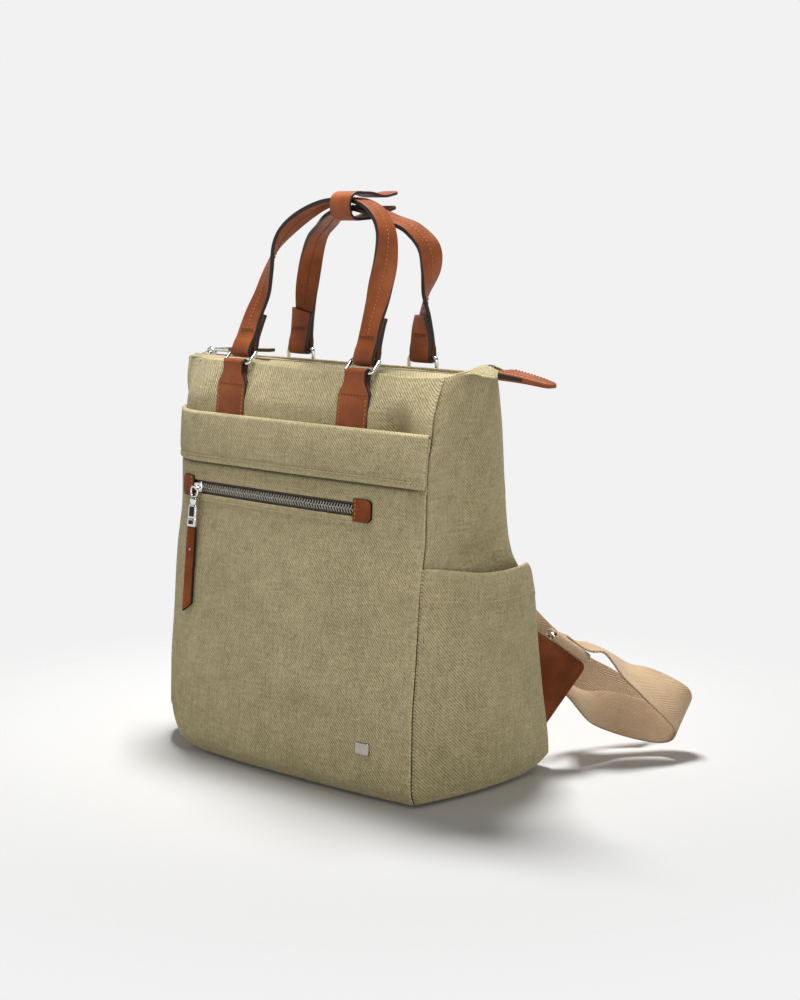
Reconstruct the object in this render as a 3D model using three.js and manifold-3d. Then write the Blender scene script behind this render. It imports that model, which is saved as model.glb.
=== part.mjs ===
import * as THREE from 'three';
import Module from 'manifold-3d';
import { mergeVertices } from 'three/addons/utils/BufferGeometryUtils.js';

// Washed canvas backpack with leather carry handles and webbing shoulder straps.
// Millimetres, +Z up, the front faces -Y, and the origin is on the flat underside of the base.

const wasm = await Module();
wasm.setup();

// Driving dimensions of the shell
const HALF_WIDTH = 161;
const TOP_Z = 336;
const EDGE_Z = 3;
const FIRST_LEVEL = 60;
const CANVAS = 2;
const POCKET_CLOTH = 1.6;
const GAP = 0.4;
const FACING_GAP = 1.4;

// Seam lines by height: front and back seam, outward bulge of each side, bow of the front and back,
// and how far the rounded front left corner is pushed back
const PROFILE = [
  { z: 0, front: -75, back: 83, right: 8, left: 8, bow: 10, backBow: 5, wrap: 30 },
  { z: 12, front: -80, back: 89, right: 9, left: 9, bow: 10, backBow: 6, wrap: 32 },
  { z: 68, front: -79, back: 80, right: 8, left: 9, bow: 8, backBow: 8, wrap: 32 },
  { z: 118, front: -74.5, back: 70, right: 7, left: 8, bow: 6, backBow: 9, wrap: 32 },
  { z: 150, front: -72, back: 62.5, right: 6, left: 8, bow: 5, backBow: 9, wrap: 32 },
  { z: 175, front: -69.5, back: 51.5, right: 5, left: 8, bow: 4, backBow: 8, wrap: 32 },
  { z: 190, front: -67, back: 42, right: 4, left: 9, bow: 3, backBow: 7, wrap: 32 },
  { z: 210, front: -64, back: 36.5, right: 4, left: 10, bow: 3, backBow: 6, wrap: 32 },
  { z: 252, front: -62.5, back: 32, right: 5, left: 14, bow: 2, backBow: 5, wrap: 31 },
  { z: 292, front: -58, back: 29, right: 9, left: 22, bow: 2, backBow: 4, wrap: 29 },
  { z: 316, front: -50, back: 25.5, right: 14, left: 32, bow: 1, backBow: 2, wrap: 27 },
  { z: 336, front: -41, back: 22, right: 20, left: 38, bow: 0, backBow: 0, wrap: 26 },
];
const WRAP_START = 0.62;
const WRAP_POWER = 2.2;
const TOP_LEFT_INSET = 6;

// Corners of the base that lift off the floor
const LIFTS = [
  { x: -150, y: -60, lift: 30, reach: 75, fade: 52 },
  { x: 161, y: 90, lift: 12, reach: 45, fade: 45 },
  { x: -161, y: 90, lift: 12, reach: 45, fade: 45 },
];
const BASE_FLAT = 0.8;

// Front slip pocket, its hem band and its zip
const MOUTH_Z = 292;
const BAND_LOW_Z = 252;
const POCKET_HOLLOW = 8;
const DIMPLE = { x: 129, z: 309, depth: 5, radius: 17 };
const ZIP = { left: -111, right: 88, z: 228.5, height: 13 };
const END_TAB = { length: 20, height: 21, thick: 1.8, overlap: 2 };
const TAPE = 0.8;
const CHAIN = { width: 6, thick: 2.4 };

// Side pockets
const SIDE_POCKET_Z = 182;
const SIDE_POCKET_GAPE = 13;
const SIDE_POCKET_FLARE = 6;

// Top closure: line of the zip, canvas beak and leather tail at the right end
const TOP_ZIP = { y: -9, skew: 11, slot: 4, left: -172, right: 172, cloth: 1.6, tapeHalf: 7, sunk: 1.3 };
const LEFT_END_HALF = 9;
const BEAK = { start: 150, peak: 178, end: 198, rise: 9, fall: 4, half: 13 };
const TAIL = { start: 198.6, end: 250, half: 13, tipHalf: 9, thick: 6, tipThick: 3, drop: 8 };

// Zip pulls: ring link, metal bar and leather strip, with the slider and its arch
const SLIDER = { plate: 2, archInner: 3.2, archWire: 1.3, archWide: 2.6 };
const LINK = { halfWidth: 4.2, halfHeight: 4.4, wire: 0.9 };
const PULL = { bar: 25, barWide: 10, barThick: 3, strip: 74, stripWide: 11, stripThick: 2.6, point: 8 };
const FRONT_SLIDER_X = -103;
const TOP_SLIDER_X = -160;
const TOP_STRIP = 60;

// Carry handles: the ring that carries each end, tipped about its lower bar, and the rows of each path
const HANDLE = { width: 20, thick: 3.6, steps: 32, leaf: 6.8, doubled: 22 };
const RING = { halfWidth: 15.5, halfHeight: 7, wire: 1.6, clearance: 0.45 };
const RING_AT = { front: { y: -46.5, z: 336, tilt: Math.PI / 4 }, back: { y: 30, z: 331, tilt: 0 } };
const LOOP_LEATHER = 2.2;
const TAB = { lowZ: 262, bendZ: 320, wide: 35, narrow: 23, leaf: 4.2, x: 73 };
const FRONT_HANDLE = [
  { x: -73, y: -35.8, z: 349 }, { x: -71.5, y: -32, z: 361 }, { x: -69.5, y: -27.5, z: 375 },
  { x: -64.5, y: -23, z: 394 }, { x: -59, y: -20, z: 415 }, { x: -53, y: -18, z: 432 },
  { x: -41, y: -16.5, z: 447 }, { x: -19, y: -15, z: 461.5 }, { x: 8, y: -13.5, z: 471.5 },
  { x: 32, y: -13, z: 473.4 }, { x: 50, y: -13.5, z: 470.5 }, { x: 65, y: -14.5, z: 462.5 },
  { x: 75, y: -16, z: 448 }, { x: 77, y: -18.5, z: 425 }, { x: 73.5, y: -21.5, z: 402 },
  { x: 71.5, y: -26, z: 378 }, { x: 72.5, y: -31.5, z: 362 }, { x: 73, y: -35.8, z: 349 },
];
const BACK_HANDLE = [
  { x: -73, y: 30, z: 348.2 }, { x: -69.5, y: 30, z: 374 }, { x: -60, y: 28, z: 410 },
  { x: -46.5, y: 21, z: 435 }, { x: -18, y: 8, z: 451 }, { x: 8, y: -6, z: 461.5 },
  { x: 32, y: -12, z: 467 }, { x: 48, y: -9, z: 464.6 }, { x: 63, y: 4.6, z: 457.2 },
  { x: 76, y: 15, z: 449.2 }, { x: 86.5, y: 22, z: 435 }, { x: 84, y: 28, z: 418 },
  { x: 76, y: 30, z: 394 }, { x: 73, y: 30, z: 372 }, { x: 73, y: 30, z: 348.2 },
];
const TWIST = { low: 362, high: 462 };
const KEEPER = { x: 33, y: -12, z: 469.8, width: 23, halfDeep: 16, halfTall: 9.8, thick: 2.2, corner: 6 };
const KEEPER_FLAPS = [
  { root: 8, middle: 4, tip: 4.4, reach: 27 },
  { root: -8, middle: -6.4, tip: -4.6, reach: 25 },
];

// Shoulder straps: leather fin in the back seam, metal ring on the fin's edge, webbing
const WEBBING = { width: 38, thick: 2, rollWide: 36, roll: 2 };
const FIN = { top: [159, 71.4, 122], tip: [172, 128, 82], low: [159, 87.8, 34], thick: 3 };
const STRAP_RING = { halfWidth: 24, halfHeight: 6, wire: 1.8, along: 25, out: 4.9, tilt: 1.405 };
const UPPER_STRAP = [
  { x: 34, y: 31.6, z: 306, wx: 1, wy: 0, wz: 0 },
  { x: 36.5, y: 40, z: 280, wx: 1, wy: 0, wz: 0 },
  { x: 43, y: 52, z: 245, wx: 0.97, wy: 0.2, wz: 0.1 },
  { x: 56, y: 66, z: 205, wx: 0.85, wy: 0.45, wz: 0.25 },
  { x: 76, y: 82, z: 165, wx: 0.6, wy: 0.65, wz: 0.45 },
  { x: 98, y: 94, z: 136, wx: 0.32, wy: 0.76, wz: 0.56 },
  { x: 117.2, y: 104.9, z: 115.6, wx: 0.13, wy: 0.78, wz: 0.61 },
  { x: 126.5, y: 120.8, z: 96, wx: 0.14, wy: 0.78, wz: 0.61 },
  { x: 137.1, y: 157.2, z: 61.8, wx: 0.16, wy: 0.74, wz: 0.65 },
  { x: 151.4, y: 179.7, z: 44.5, wx: 0.08, wy: 0.75, wz: 0.66 },
  { x: 167.7, y: 197.6, z: 29.1, wx: -0.03, wy: 0.75, wz: 0.66 },
  { x: 175, y: 204.8, z: 23.6, wx: -0.12, wy: 0.76, wz: 0.64 },
];
const STRAP_LOOP = [
  { x: 157.2, y: 113.2, z: 109.3, wx: 0.96, wy: -0.25, wz: -0.05, wide: 0.36 },
  { x: 159.4, y: 122.9, z: 102.5, wx: 0.95, wy: -0.28, wz: -0.08, wide: 0.4 },
  { x: 167.5, y: 132, z: 97.4, wx: 0.9, wy: -0.41, wz: -0.14, wide: 0.68 },
  { x: 174.7, y: 141.1, z: 94.7, wx: 0.76, wy: -0.65, wz: 0.08 },
  { x: 182.4, y: 149.5, z: 86.4, wx: 0.62, wy: -0.78, wz: 0.05 },
  { x: 193.3, y: 158.7, z: 74, wx: 0.49, wy: -0.87, wz: -0.11 },
  { x: 206, y: 169, z: 65.6, wx: 0.27, wy: -0.89, wz: -0.37 },
  { x: 219.8, y: 178.5, z: 54.8, wx: 0.09, wy: -0.83, wz: -0.55 },
  { x: 227.3, y: 186.4, z: 45.4, wx: 0.02, wy: -0.77, wz: -0.64 },
  { x: 226, y: 194.2, z: 34.9, wx: 0.17, wy: -0.81, wz: -0.56 },
  { x: 216.7, y: 197.5, z: 26.4, wx: 0.28, wy: -0.75, wz: -0.6 },
  { x: 203.2, y: 192.7, z: 24.4, wx: 0.41, wy: -0.54, wz: -0.73 },
  { x: 190.9, y: 180.4, z: 28.1, wx: 0.37, wy: -0.47, wz: -0.8 },
  { x: 176.6, y: 162.7, z: 35.1, wx: 0.39, wy: -0.45, wz: -0.8 },
  { x: 166.5, y: 144.6, z: 41.2, wx: 0.61, wy: -0.51, wz: -0.61 },
  { x: 158.5, y: 134.6, z: 49.6, wx: 0.73, wy: -0.55, wz: -0.4 },
  { x: 150.5, y: 126.5, z: 61.1, wx: 0.75, wy: -0.56, wz: -0.35 },
];

// Small plain plate low on the front
const PLATE = { x: 114, z: 41, wide: 14, tall: 10, thick: 1.4 };

const CANVAS_LOOK = { color: 0x938c6a, roughness: 0.95, metalness: 0 };
const LEATHER_LOOK = { color: 0x9a4f28, roughness: 0.5, metalness: 0 };
const METAL_LOOK = { color: 0xc9c8c4, roughness: 0.22, metalness: 1 };
const WEBBING_LOOK = { color: 0xbfa684, roughness: 0.9, metalness: 0 };
const TAPE_LOOK = { color: 0x857866, roughness: 0.9, metalness: 0 };

const bag = new THREE.Group();

function addPiece(name, geometry, look) {
  const mesh = new THREE.Mesh(geometry, new THREE.MeshStandardMaterial(look));
  mesh.name = name;
  bag.add(mesh);
}

function smooth(t) {
  const c = Math.min(1, Math.max(0, t));
  return c * c * (3 - 2 * c);
}

// Row of a table between its rows, with slopes limited so that no column overshoots
function rowAt(table, z) {
  const c = Math.min(table[table.length - 1].z, Math.max(table[0].z, z));
  let i = 0;
  while (i < table.length - 2 && table[i + 1].z < c) i += 1;
  const span = table[i + 1].z - table[i].z;
  const t = (c - table[i].z) / span;
  const row = {};
  for (const key of Object.keys(table[0])) {
    const slope = (k) => (table[k + 1][key] - table[k][key]) / (table[k + 1].z - table[k].z);
    const middle = slope(i);
    const limited = (k) => {
      if (k < 0 || k > table.length - 2) return middle;
      const other = slope(k);
      return other * middle <= 0 ? 0 : (2 * other * middle) / (other + middle);
    };
    const m0 = limited(i - 1) * span;
    const m1 = limited(i + 1) * span;
    const h = t * t * (3 - 2 * t);
    row[key] = table[i][key] * (1 - h) + table[i + 1][key] * h
      + m0 * t * (1 - t) * (1 - t) - m1 * t * t * (1 - t);
  }
  return row;
}

function leftHalf(z) {
  return HALF_WIDTH - TOP_LEFT_INSET * smooth((z - MOUTH_Z) / (TOP_Z - MOUTH_Z));
}

function widthAt(s, z) {
  return s >= 0 ? s * HALF_WIDTH : s * leftHalf(z);
}

function edgeLift(x, y) {
  let height = EDGE_Z;
  for (const corner of LIFTS) {
    const d = Math.hypot(x - corner.x, y - corner.y);
    const near = Math.min(1, Math.max(0, (corner.reach - d) / corner.fade));
    height += corner.lift * near * near;
  }
  return height;
}

// Outer face of the front, seam to seam, s from -1 at the left to 1 at the right
function frontY(s, z) {
  const row = rowAt(PROFILE, z);
  const wrap = s < -WRAP_START ? row.wrap * Math.pow((-s - WRAP_START) / (1 - WRAP_START), WRAP_POWER) : 0;
  return row.front + wrap - row.bow * (1 - s * s);
}

function backY(s, z) {
  const row = rowAt(PROFILE, z);
  return row.back + row.backBow * (1 - s * s);
}

// How far the front panel lies behind the slip pocket's outer face
function recess(s, z) {
  const behind = 1 - smooth((z - MOUTH_Z) / 16);
  const hollow = POCKET_HOLLOW * (1 - s * s * s * s) * smooth((z - 20) / 90);
  const dx = widthAt(s, z) - DIMPLE.x;
  const dz = z - DIMPLE.z;
  const dent = DIMPLE.depth * Math.exp(-(dx * dx + dz * dz) / (DIMPLE.radius * DIMPLE.radius));
  return behind * (POCKET_CLOTH + GAP + hollow) + dent;
}

function frontSeamY(side, z) {
  return frontY(side, z) + recess(side, z) + CANVAS + GAP;
}

function sideX(side, t, z) {
  const row = rowAt(PROFILE, z);
  const bulge = (side > 0 ? row.right : row.left) * Math.sin(Math.PI * t);
  return widthAt(side, z) + side * bulge;
}

function extruded(shape, depth, curveSegments) {
  return new THREE.ExtrudeGeometry(shape, { depth, bevelEnabled: false, curveSegments });
}

function geometryOf(positions, triangles) {
  const geometry = new THREE.BufferGeometry();
  geometry.setAttribute('position', new THREE.Float32BufferAttribute(positions, 3));
  geometry.setIndex(triangles);
  return geometry;
}

function signedVolume(positions, triangles) {
  const corner = (i) => new THREE.Vector3().fromArray(positions, 3 * i);
  let volume = 0;
  for (let i = 0; i < triangles.length; i += 3) {
    const [a, b, c] = [corner(triangles[i]), corner(triangles[i + 1]), corner(triangles[i + 2])];
    volume += a.dot(b.cross(c)) / 6;
  }
  return volume;
}

// Closed body from stacked loops of points, each loop with the same number of points
function loft(loops) {
  const count = loops[0].length;
  const positions = loops.flat().flatMap((p) => [p.x, p.y, p.z]);
  const triangles = [];
  for (let i = 0; i + 1 < loops.length; i += 1) {
    for (let j = 0; j < count; j += 1) {
      const a = i * count + j;
      const b = i * count + ((j + 1) % count);
      triangles.push(a, b, b + count, a, b + count, a + count);
    }
  }
  const last = (loops.length - 1) * count;
  for (let j = 1; j + 1 < count; j += 1) {
    triangles.push(0, j + 1, j, last, last + j, last + j + 1);
  }
  if (signedVolume(positions, triangles) < 0) triangles.reverse();
  return geometryOf(positions, triangles);
}

// Sheet of cloth: each column of the grid is a closed strip made of its outer and inner points
function sheet(us, vs, outer, inner) {
  const nu = us.length;
  const nv = vs.length;
  const positions = [];
  for (const face of [outer, inner]) {
    for (const u of us) {
      for (const v of vs) positions.push(...face(u, v));
    }
  }
  const triangles = [];
  const quad = (a, b, c, d) => triangles.push(a, b, c, a, c, d);
  const at = (k, i, j) => (k * nu + i) * nv + j;
  for (let i = 0; i + 1 < nu; i += 1) {
    for (let j = 0; j + 1 < nv; j += 1) {
      quad(at(0, i, j), at(0, i + 1, j), at(0, i + 1, j + 1), at(0, i, j + 1));
      quad(at(1, i, j), at(1, i, j + 1), at(1, i + 1, j + 1), at(1, i + 1, j));
    }
    quad(at(1, i, 0), at(1, i + 1, 0), at(0, i + 1, 0), at(0, i, 0));
    quad(at(0, i, nv - 1), at(0, i + 1, nv - 1), at(1, i + 1, nv - 1), at(1, i, nv - 1));
  }
  for (let j = 0; j + 1 < nv; j += 1) {
    quad(at(0, 0, j), at(0, 0, j + 1), at(1, 0, j + 1), at(1, 0, j));
    quad(at(1, nu - 1, j), at(1, nu - 1, j + 1), at(0, nu - 1, j + 1), at(0, nu - 1, j));
  }
  if (signedVolume(positions, triangles) < 0) triangles.reverse();
  return geometryOf(positions, triangles);
}

// Flat strap along a curve: across(t, tangent) gives the direction of its width
function strap(curve, steps, fullWidth, thick, across, share = () => 1) {
  const loops = [];
  for (let i = 0; i <= steps; i += 1) {
    const t = i / steps;
    const width = fullWidth * share(t);
    const tangent = curve.getTangent(t);
    const side = across(t, tangent);
    side.addScaledVector(tangent, -side.dot(tangent)).normalize();
    const normal = new THREE.Vector3().crossVectors(tangent, side);
    const centre = curve.getPoint(t);
    const corner = (a, b) => centre.clone()
      .addScaledVector(side, a * width / 2)
      .addScaledVector(normal, b * thick / 2);
    loops.push([corner(-1, -1), corner(1, -1), corner(1, 1), corner(-1, 1)]);
  }
  return loft(loops);
}

function toSolid(geometry) {
  const bare = geometry.clone();
  bare.deleteAttribute('normal');
  bare.deleteAttribute('uv');
  const merged = mergeVertices(bare, 1e-4);
  return new wasm.Manifold(new wasm.Mesh({
    numProp: 3,
    vertProperties: new Float32Array(merged.attributes.position.array),
    triVerts: new Uint32Array(merged.index.array),
  }));
}

function fromSolid(solid) {
  const mesh = solid.getMesh();
  return geometryOf(Array.from(mesh.vertProperties), Array.from(mesh.triVerts));
}

function joined(geometries) {
  return fromSolid(geometries.map(toSolid).reduce((a, b) => a.add(b)));
}

function box(x, y, z, cx, cy, cz) {
  return new THREE.BoxGeometry(x, y, z).translate(cx, cy, cz);
}

// Wire ring with a rounded rectangular outline, in the XZ plane
function wireRing(halfWidth, halfHeight, wire, square = 0.25) {
  const ring = new THREE.TorusGeometry(1, 0.1, 6, 16);
  const place = ring.attributes.position;
  for (let i = 0; i < place.count; i += 1) {
    const angle = Math.atan2(place.getY(i), place.getX(i));
    const out = (Math.hypot(place.getX(i), place.getY(i)) - 1) * wire / 0.1;
    const depth = -place.getZ(i) * wire / 0.1;
    const power = (c) => (Math.abs(c) < 1e-6 ? 0 : Math.sign(c) * Math.pow(Math.abs(c), square));
    const cx = halfWidth * power(Math.cos(angle));
    const cz = halfHeight * power(Math.sin(angle));
    place.setXYZ(i, cx + out * Math.cos(angle), depth, cz + out * Math.sin(angle));
  }
  return ring;
}

// Canvas shell
const FRONT_S = [-1, -0.95, -0.88, -0.8, -0.7, -0.58, -0.4, -0.15, 0.1, 0.35, 0.6, 0.75, 0.88, 1];
const LOW_SHARES = [0, 0.08, 0.25, 0.55, 1];
const LEVELS = [...LOW_SHARES, 90, 118, 150, 175, 190, 210, 232, 252, 272, 290, 298, 307, 320, TOP_Z];
const SIDE_T = [0, 0.12, 0.3, 0.5, 0.7, 0.88, 1];

function risen(low, high, v) {
  return low + (high - low) * v;
}

// Height of a row: up to 1 a share of the way from the lower edge to the first level, then millimetres
function rowZ(low, level) {
  return level <= 1 ? risen(low, FIRST_LEVEL, level) : level;
}

function levelsTo(high) {
  return [...LEVELS.filter((level) => level < high - 2), high];
}

function frontPoint(s, level, offset) {
  const low = edgeLift(widthAt(s, EDGE_Z), frontY(s, EDGE_Z));
  const z = rowZ(low, level);
  return [widthAt(s, z), frontY(s, z) + offset(s, z), z];
}

addPiece('front_panel', sheet(FRONT_S, LEVELS,
  (s, v) => frontPoint(s, v, recess),
  (s, v) => frontPoint(s, v, (a, z) => recess(a, z) + CANVAS)), CANVAS_LOOK);

const BACK_S = [-1, -0.9, -0.75, -0.5, -0.2, 0.2, 0.5, 0.75, 0.9, 1];
function backPoint(s, level, offset) {
  const low = edgeLift(widthAt(s, EDGE_Z), backY(s, EDGE_Z));
  const z = rowZ(low, level);
  return [widthAt(s, z), backY(s, z) + offset, z];
}
addPiece('back_panel', sheet(BACK_S, LEVELS,
  (s, v) => backPoint(s, v, 0),
  (s, v) => backPoint(s, v, -CANVAS)), CANVAS_LOOK);

function sidePoint(side, t, level, offset, y) {
  const lowY = risen(frontY(side, EDGE_Z), backY(side, EDGE_Z), t);
  const low = edgeLift(side * HALF_WIDTH, lowY);
  const z = rowZ(low, level);
  const up = z / SIDE_POCKET_Z;
  return [sideX(side, t, z) + side * offset(t, up), y(t, z, up), z];
}
for (const [name, side] of [['left', -1], ['right', 1]]) {
  const across = (t, z) => risen(frontSeamY(side, z), backY(side, z) - CANVAS - GAP, t);
  addPiece(`gusset_${name}`, sheet(SIDE_T, levelsTo(TOP_Z - 3),
    (t, v) => sidePoint(side, t, v, () => 0, across),
    (t, v) => sidePoint(side, t, v, () => -CANVAS, across)), CANVAS_LOOK);
}

// Base: a shallow tray whose rim stands inside the panels
const BASE_U = [-1, -0.92, -0.86, -BASE_FLAT, -0.5, -0.25, 0.25, 0.5, BASE_FLAT, 0.9, 1];
const BASE_W = [-1, -0.9, -BASE_FLAT, BASE_FLAT, 0.9, 1];
function basePoint(u, w, up) {
  const inset = CANVAS + 2 * GAP;
  const s = u * (HALF_WIDTH - inset) / HALF_WIDTH;
  const rim = edgeLift(widthAt(s, EDGE_Z), frontY(s, EDGE_Z)) + 1;
  const near = frontY(s, rim) + recess(s, rim) + CANVAS + 3 * GAP;
  const far = backY(s, EDGE_Z) - CANVAS - 2 * GAP;
  const x = widthAt(s, EDGE_Z);
  const y = risen(near, far, (w + 1) / 2);
  const edge = smooth((Math.max(Math.abs(u), Math.abs(w)) - BASE_FLAT) / (1 - BASE_FLAT));
  return [x, y, edge * (edgeLift(x, y) + 1) + up];
}
addPiece('base_panel', sheet(BASE_U, BASE_W,
  (u, w) => basePoint(u, w, 0),
  (u, w) => basePoint(u, w, CANVAS)), CANVAS_LOOK);

// Front slip pocket with a zip window, and the folded band along its mouth
const pocketBody = sheet(FRONT_S, levelsTo(MOUTH_Z - 2),
  (s, v) => frontPoint(s, v, () => 0),
  (s, v) => frontPoint(s, v, () => POCKET_CLOTH));
const zipMiddle = (ZIP.left + ZIP.right) / 2;
const zipLength = ZIP.right - ZIP.left;
const zipWindow = box(zipLength, 60, ZIP.height, zipMiddle, frontY(0, ZIP.z), ZIP.z);
addPiece('front_pocket', fromSolid(toSolid(pocketBody).subtract(toSolid(zipWindow))), CANVAS_LOOK);

const BAND_CLOTH = 1.5;
function bandPoint(s, v, offset) {
  const z = risen(BAND_LOW_Z, MOUTH_Z, v);
  return [widthAt(s, z), frontY(s, z) - GAP - offset, z];
}
addPiece('front_pocket_band', sheet(FRONT_S, [0, 0.1, 0.5, 0.9, 1],
  (s, v) => bandPoint(s, v, BAND_CLOTH),
  (s, v) => bandPoint(s, v, 0)), CANVAS_LOOK);

// Strip that follows the front of the pocket between two places along it
function frontStrip(left, right, low, high, near, far, columns) {
  const us = Array.from({ length: columns + 1 }, (_, i) => i / columns);
  const face = (offset) => (u, v) => {
    const x = risen(left, right, u);
    const z = risen(low, high, v);
    return [x, frontY(x / HALF_WIDTH, z) + offset, z];
  };
  return sheet(us, [0, 1], face(near), face(far));
}
const tapeFace = POCKET_CLOTH + GAP;
addPiece('front_zip_tape', frontStrip(ZIP.left - 3, ZIP.right + 6, ZIP.z - 12, ZIP.z + 12,
  tapeFace, tapeFace + TAPE, 8), TAPE_LOOK);
const chainFace = tapeFace - 0.3;
const tabCover = END_TAB.overlap + GAP;
addPiece('front_zip_chain', frontStrip(ZIP.left + tabCover, ZIP.right - tabCover,
  ZIP.z - CHAIN.width / 2, ZIP.z + CHAIN.width / 2, chainFace - CHAIN.thick, chainFace, 8), METAL_LOOK);

function endTab(inner, outward) {
  const from = inner - outward * END_TAB.overlap;
  const to = inner + outward * (END_TAB.length - END_TAB.overlap);
  const [left, right] = outward > 0 ? [from, to] : [to, from];
  const half = END_TAB.height / 2;
  return frontStrip(left, right, ZIP.z - half, ZIP.z + half, -0.3 - END_TAB.thick, -0.3, 3);
}
addPiece('front_zip_end_left', endTab(ZIP.left, -1), LEATHER_LOOK);
addPiece('front_zip_end_right', endTab(ZIP.right, 1), LEATHER_LOOK);

// Zip slider lying flat: a waisted plate with an arch on top whose hole runs along X, or along Y if turned
function slider(turned) {
  const plate = new THREE.Shape();
  plate.moveTo(-5, -3.2);
  plate.quadraticCurveTo(0, -5, 5, -4.4);
  plate.lineTo(5, 4.4);
  plate.quadraticCurveTo(0, 5, -5, 3.2);
  plate.closePath();
  const slab = extruded(plate, SLIDER.plate, 4);
  const arch = new THREE.Shape();
  arch.absarc(0, 0, SLIDER.archInner + SLIDER.archWire, 0, Math.PI, false);
  arch.absarc(0, 0, SLIDER.archInner, Math.PI, 0, true);
  arch.closePath();
  const bow = extruded(arch, SLIDER.archWide, 8);
  bow.translate(0, 0, -SLIDER.archWide / 2).rotateX(Math.PI / 2).translate(0, 0, SLIDER.plate - 0.2);
  if (!turned) bow.rotateZ(Math.PI / 2);
  return joined([slab, bow]);
}

// Link, bar and strip of a zip pull; bar and strip hang down from z = 0
function pullLink() {
  return wireRing(LINK.halfWidth, LINK.halfHeight, LINK.wire);
}

function pullBar() {
  const bar = new THREE.Shape();
  const half = PULL.barWide / 2;
  bar.moveTo(-half + 2, 0);
  bar.lineTo(half - 2, 0);
  bar.lineTo(half, -3);
  bar.lineTo(half, -PULL.bar);
  bar.lineTo(-half, -PULL.bar);
  bar.lineTo(-half, -3);
  bar.closePath();
  return extruded(bar, PULL.barThick, 1).translate(0, 0, -PULL.barThick / 2).rotateX(Math.PI / 2);
}

function pullStrip(length) {
  const strip = new THREE.Shape();
  const half = PULL.stripWide / 2;
  strip.moveTo(-half, 0);
  strip.lineTo(half, 0);
  strip.lineTo(half, -length + PULL.point);
  strip.lineTo(-half, -length);
  strip.closePath();
  return extruded(strip, PULL.stripThick, 1).translate(0, 0, -PULL.stripThick / 2).rotateX(Math.PI / 2);
}
const linkLow = 2 * LINK.halfHeight + LINK.wire + 0.3;
const stripTop = linkLow + PULL.bar + 0.3;

// Front zip slider and its free hanging pull, which leans on the pocket below it
const sliderS = FRONT_SLIDER_X / HALF_WIDTH;
const sliderY = frontY(sliderS, ZIP.z) + chainFace - CHAIN.thick - 0.3;
const frontSlider = slider(false).rotateX(Math.PI / 2).translate(FRONT_SLIDER_X, sliderY, ZIP.z);
addPiece('front_zip_slider', frontSlider, METAL_LOOK);
const hinge = new THREE.Vector3(FRONT_SLIDER_X, sliderY - SLIDER.plate - LINK.wire - 0.5, ZIP.z);
const pullReach = stripTop + PULL.strip;
const tipY = frontY(sliderS, ZIP.z - pullReach) - PULL.stripThick / 2 - 1;
const lean = Math.atan2(hinge.y - tipY, pullReach);
function hung(geometry, drop) {
  return geometry.translate(0, 0, -drop).rotateX(-lean).translate(hinge.x, hinge.y, hinge.z);
}
addPiece('front_pull_link', hung(pullLink(), LINK.halfHeight), METAL_LOOK);
addPiece('front_pull_bar', hung(pullBar(), linkLow), METAL_LOOK);
addPiece('front_pull_strip', hung(pullStrip(PULL.strip), stripTop), LEATHER_LOOK);

// Plain plate low on the front
const plateHalf = PLATE.wide / 2;
addPiece('front_plate', frontStrip(PLATE.x - plateHalf, PLATE.x + plateHalf, PLATE.z - PLATE.tall / 2,
  PLATE.z + PLATE.tall / 2, -0.3 - PLATE.thick, -0.3, 2), METAL_LOOK);

// Side pockets: sewn at the front, gaping at the top towards the back
const POCKET_T = [0, 0.06, 0.2, 0.4, 0.6, 0.78, 0.92, 1];
for (const [name, side] of [['left', -1], ['right', 1]]) {
  const across = (t, z, v) => risen(frontSeamY(side, z), backY(side, z) + SIDE_POCKET_FLARE * v * v * v, t);
  const gape = (t, v) => SIDE_POCKET_GAPE * Math.sin(Math.PI * Math.pow(t, 1.4)) * Math.pow(v, 1.2);
  addPiece(`side_pocket_${name}`, sheet(POCKET_T, levelsTo(SIDE_POCKET_Z),
    (t, v) => sidePoint(side, t, v, (a, up) => gape(a, up) + 2 * GAP + POCKET_CLOTH, across),
    (t, v) => sidePoint(side, t, v, (a, up) => gape(a, up) + 2 * GAP, across)), CANVAS_LOOK);
}

// Top closure
function zipY(x) {
  const back = Math.min(0, x) / TOP_ZIP.left;
  return TOP_ZIP.y + TOP_ZIP.skew * back * back;
}

function topZ(x) {
  const up = BEAK.rise * smooth((x - BEAK.start) / (BEAK.peak - BEAK.start));
  return TOP_Z - 1 + up - BEAK.fall * smooth((x - BEAK.peak) / (BEAK.end - BEAK.peak));
}

// Outer edge of a facing: inside the panel's top edge, closing in on the zip past the seams
function facingEdge(side, x) {
  const s = Math.min(1, Math.max(-1, x >= 0 ? x / HALF_WIDTH : x / leftHalf(TOP_Z)));
  const inside = CANVAS + FACING_GAP;
  const panel = side < 0 ? frontY(s, TOP_Z) + recess(s, TOP_Z) + inside : backY(s, TOP_Z) - inside;
  const right = [HALF_WIDTH - 6, BEAK.end, BEAK.half];
  const left = [-leftHalf(TOP_Z), TOP_ZIP.left - 6, LEFT_END_HALF];
  const [start, end, half] = x >= 0 ? right : left;
  const closing = smooth((x - start) / (end - start));
  return risen(panel, zipY(x) + side * half, closing);
}
const TOP_X = [-178, -168, -158, -145, -120, -80, -30, 20, 70, 110, 135, 150, 158, 166, 174, 182, 190, 198];
for (const [name, side] of [['front', -1], ['back', 1]]) {
  const face = (down) => (x, w) => {
    const y = risen(facingEdge(side, x), zipY(x) + side * TOP_ZIP.slot, w);
    return [x, y, topZ(x) + 1.5 * w - down];
  };
  addPiece(`top_facing_${name}`, sheet(TOP_X, [0, 0.5, 1], face(0), face(TOP_ZIP.cloth)), CANVAS_LOOK);
}
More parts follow.
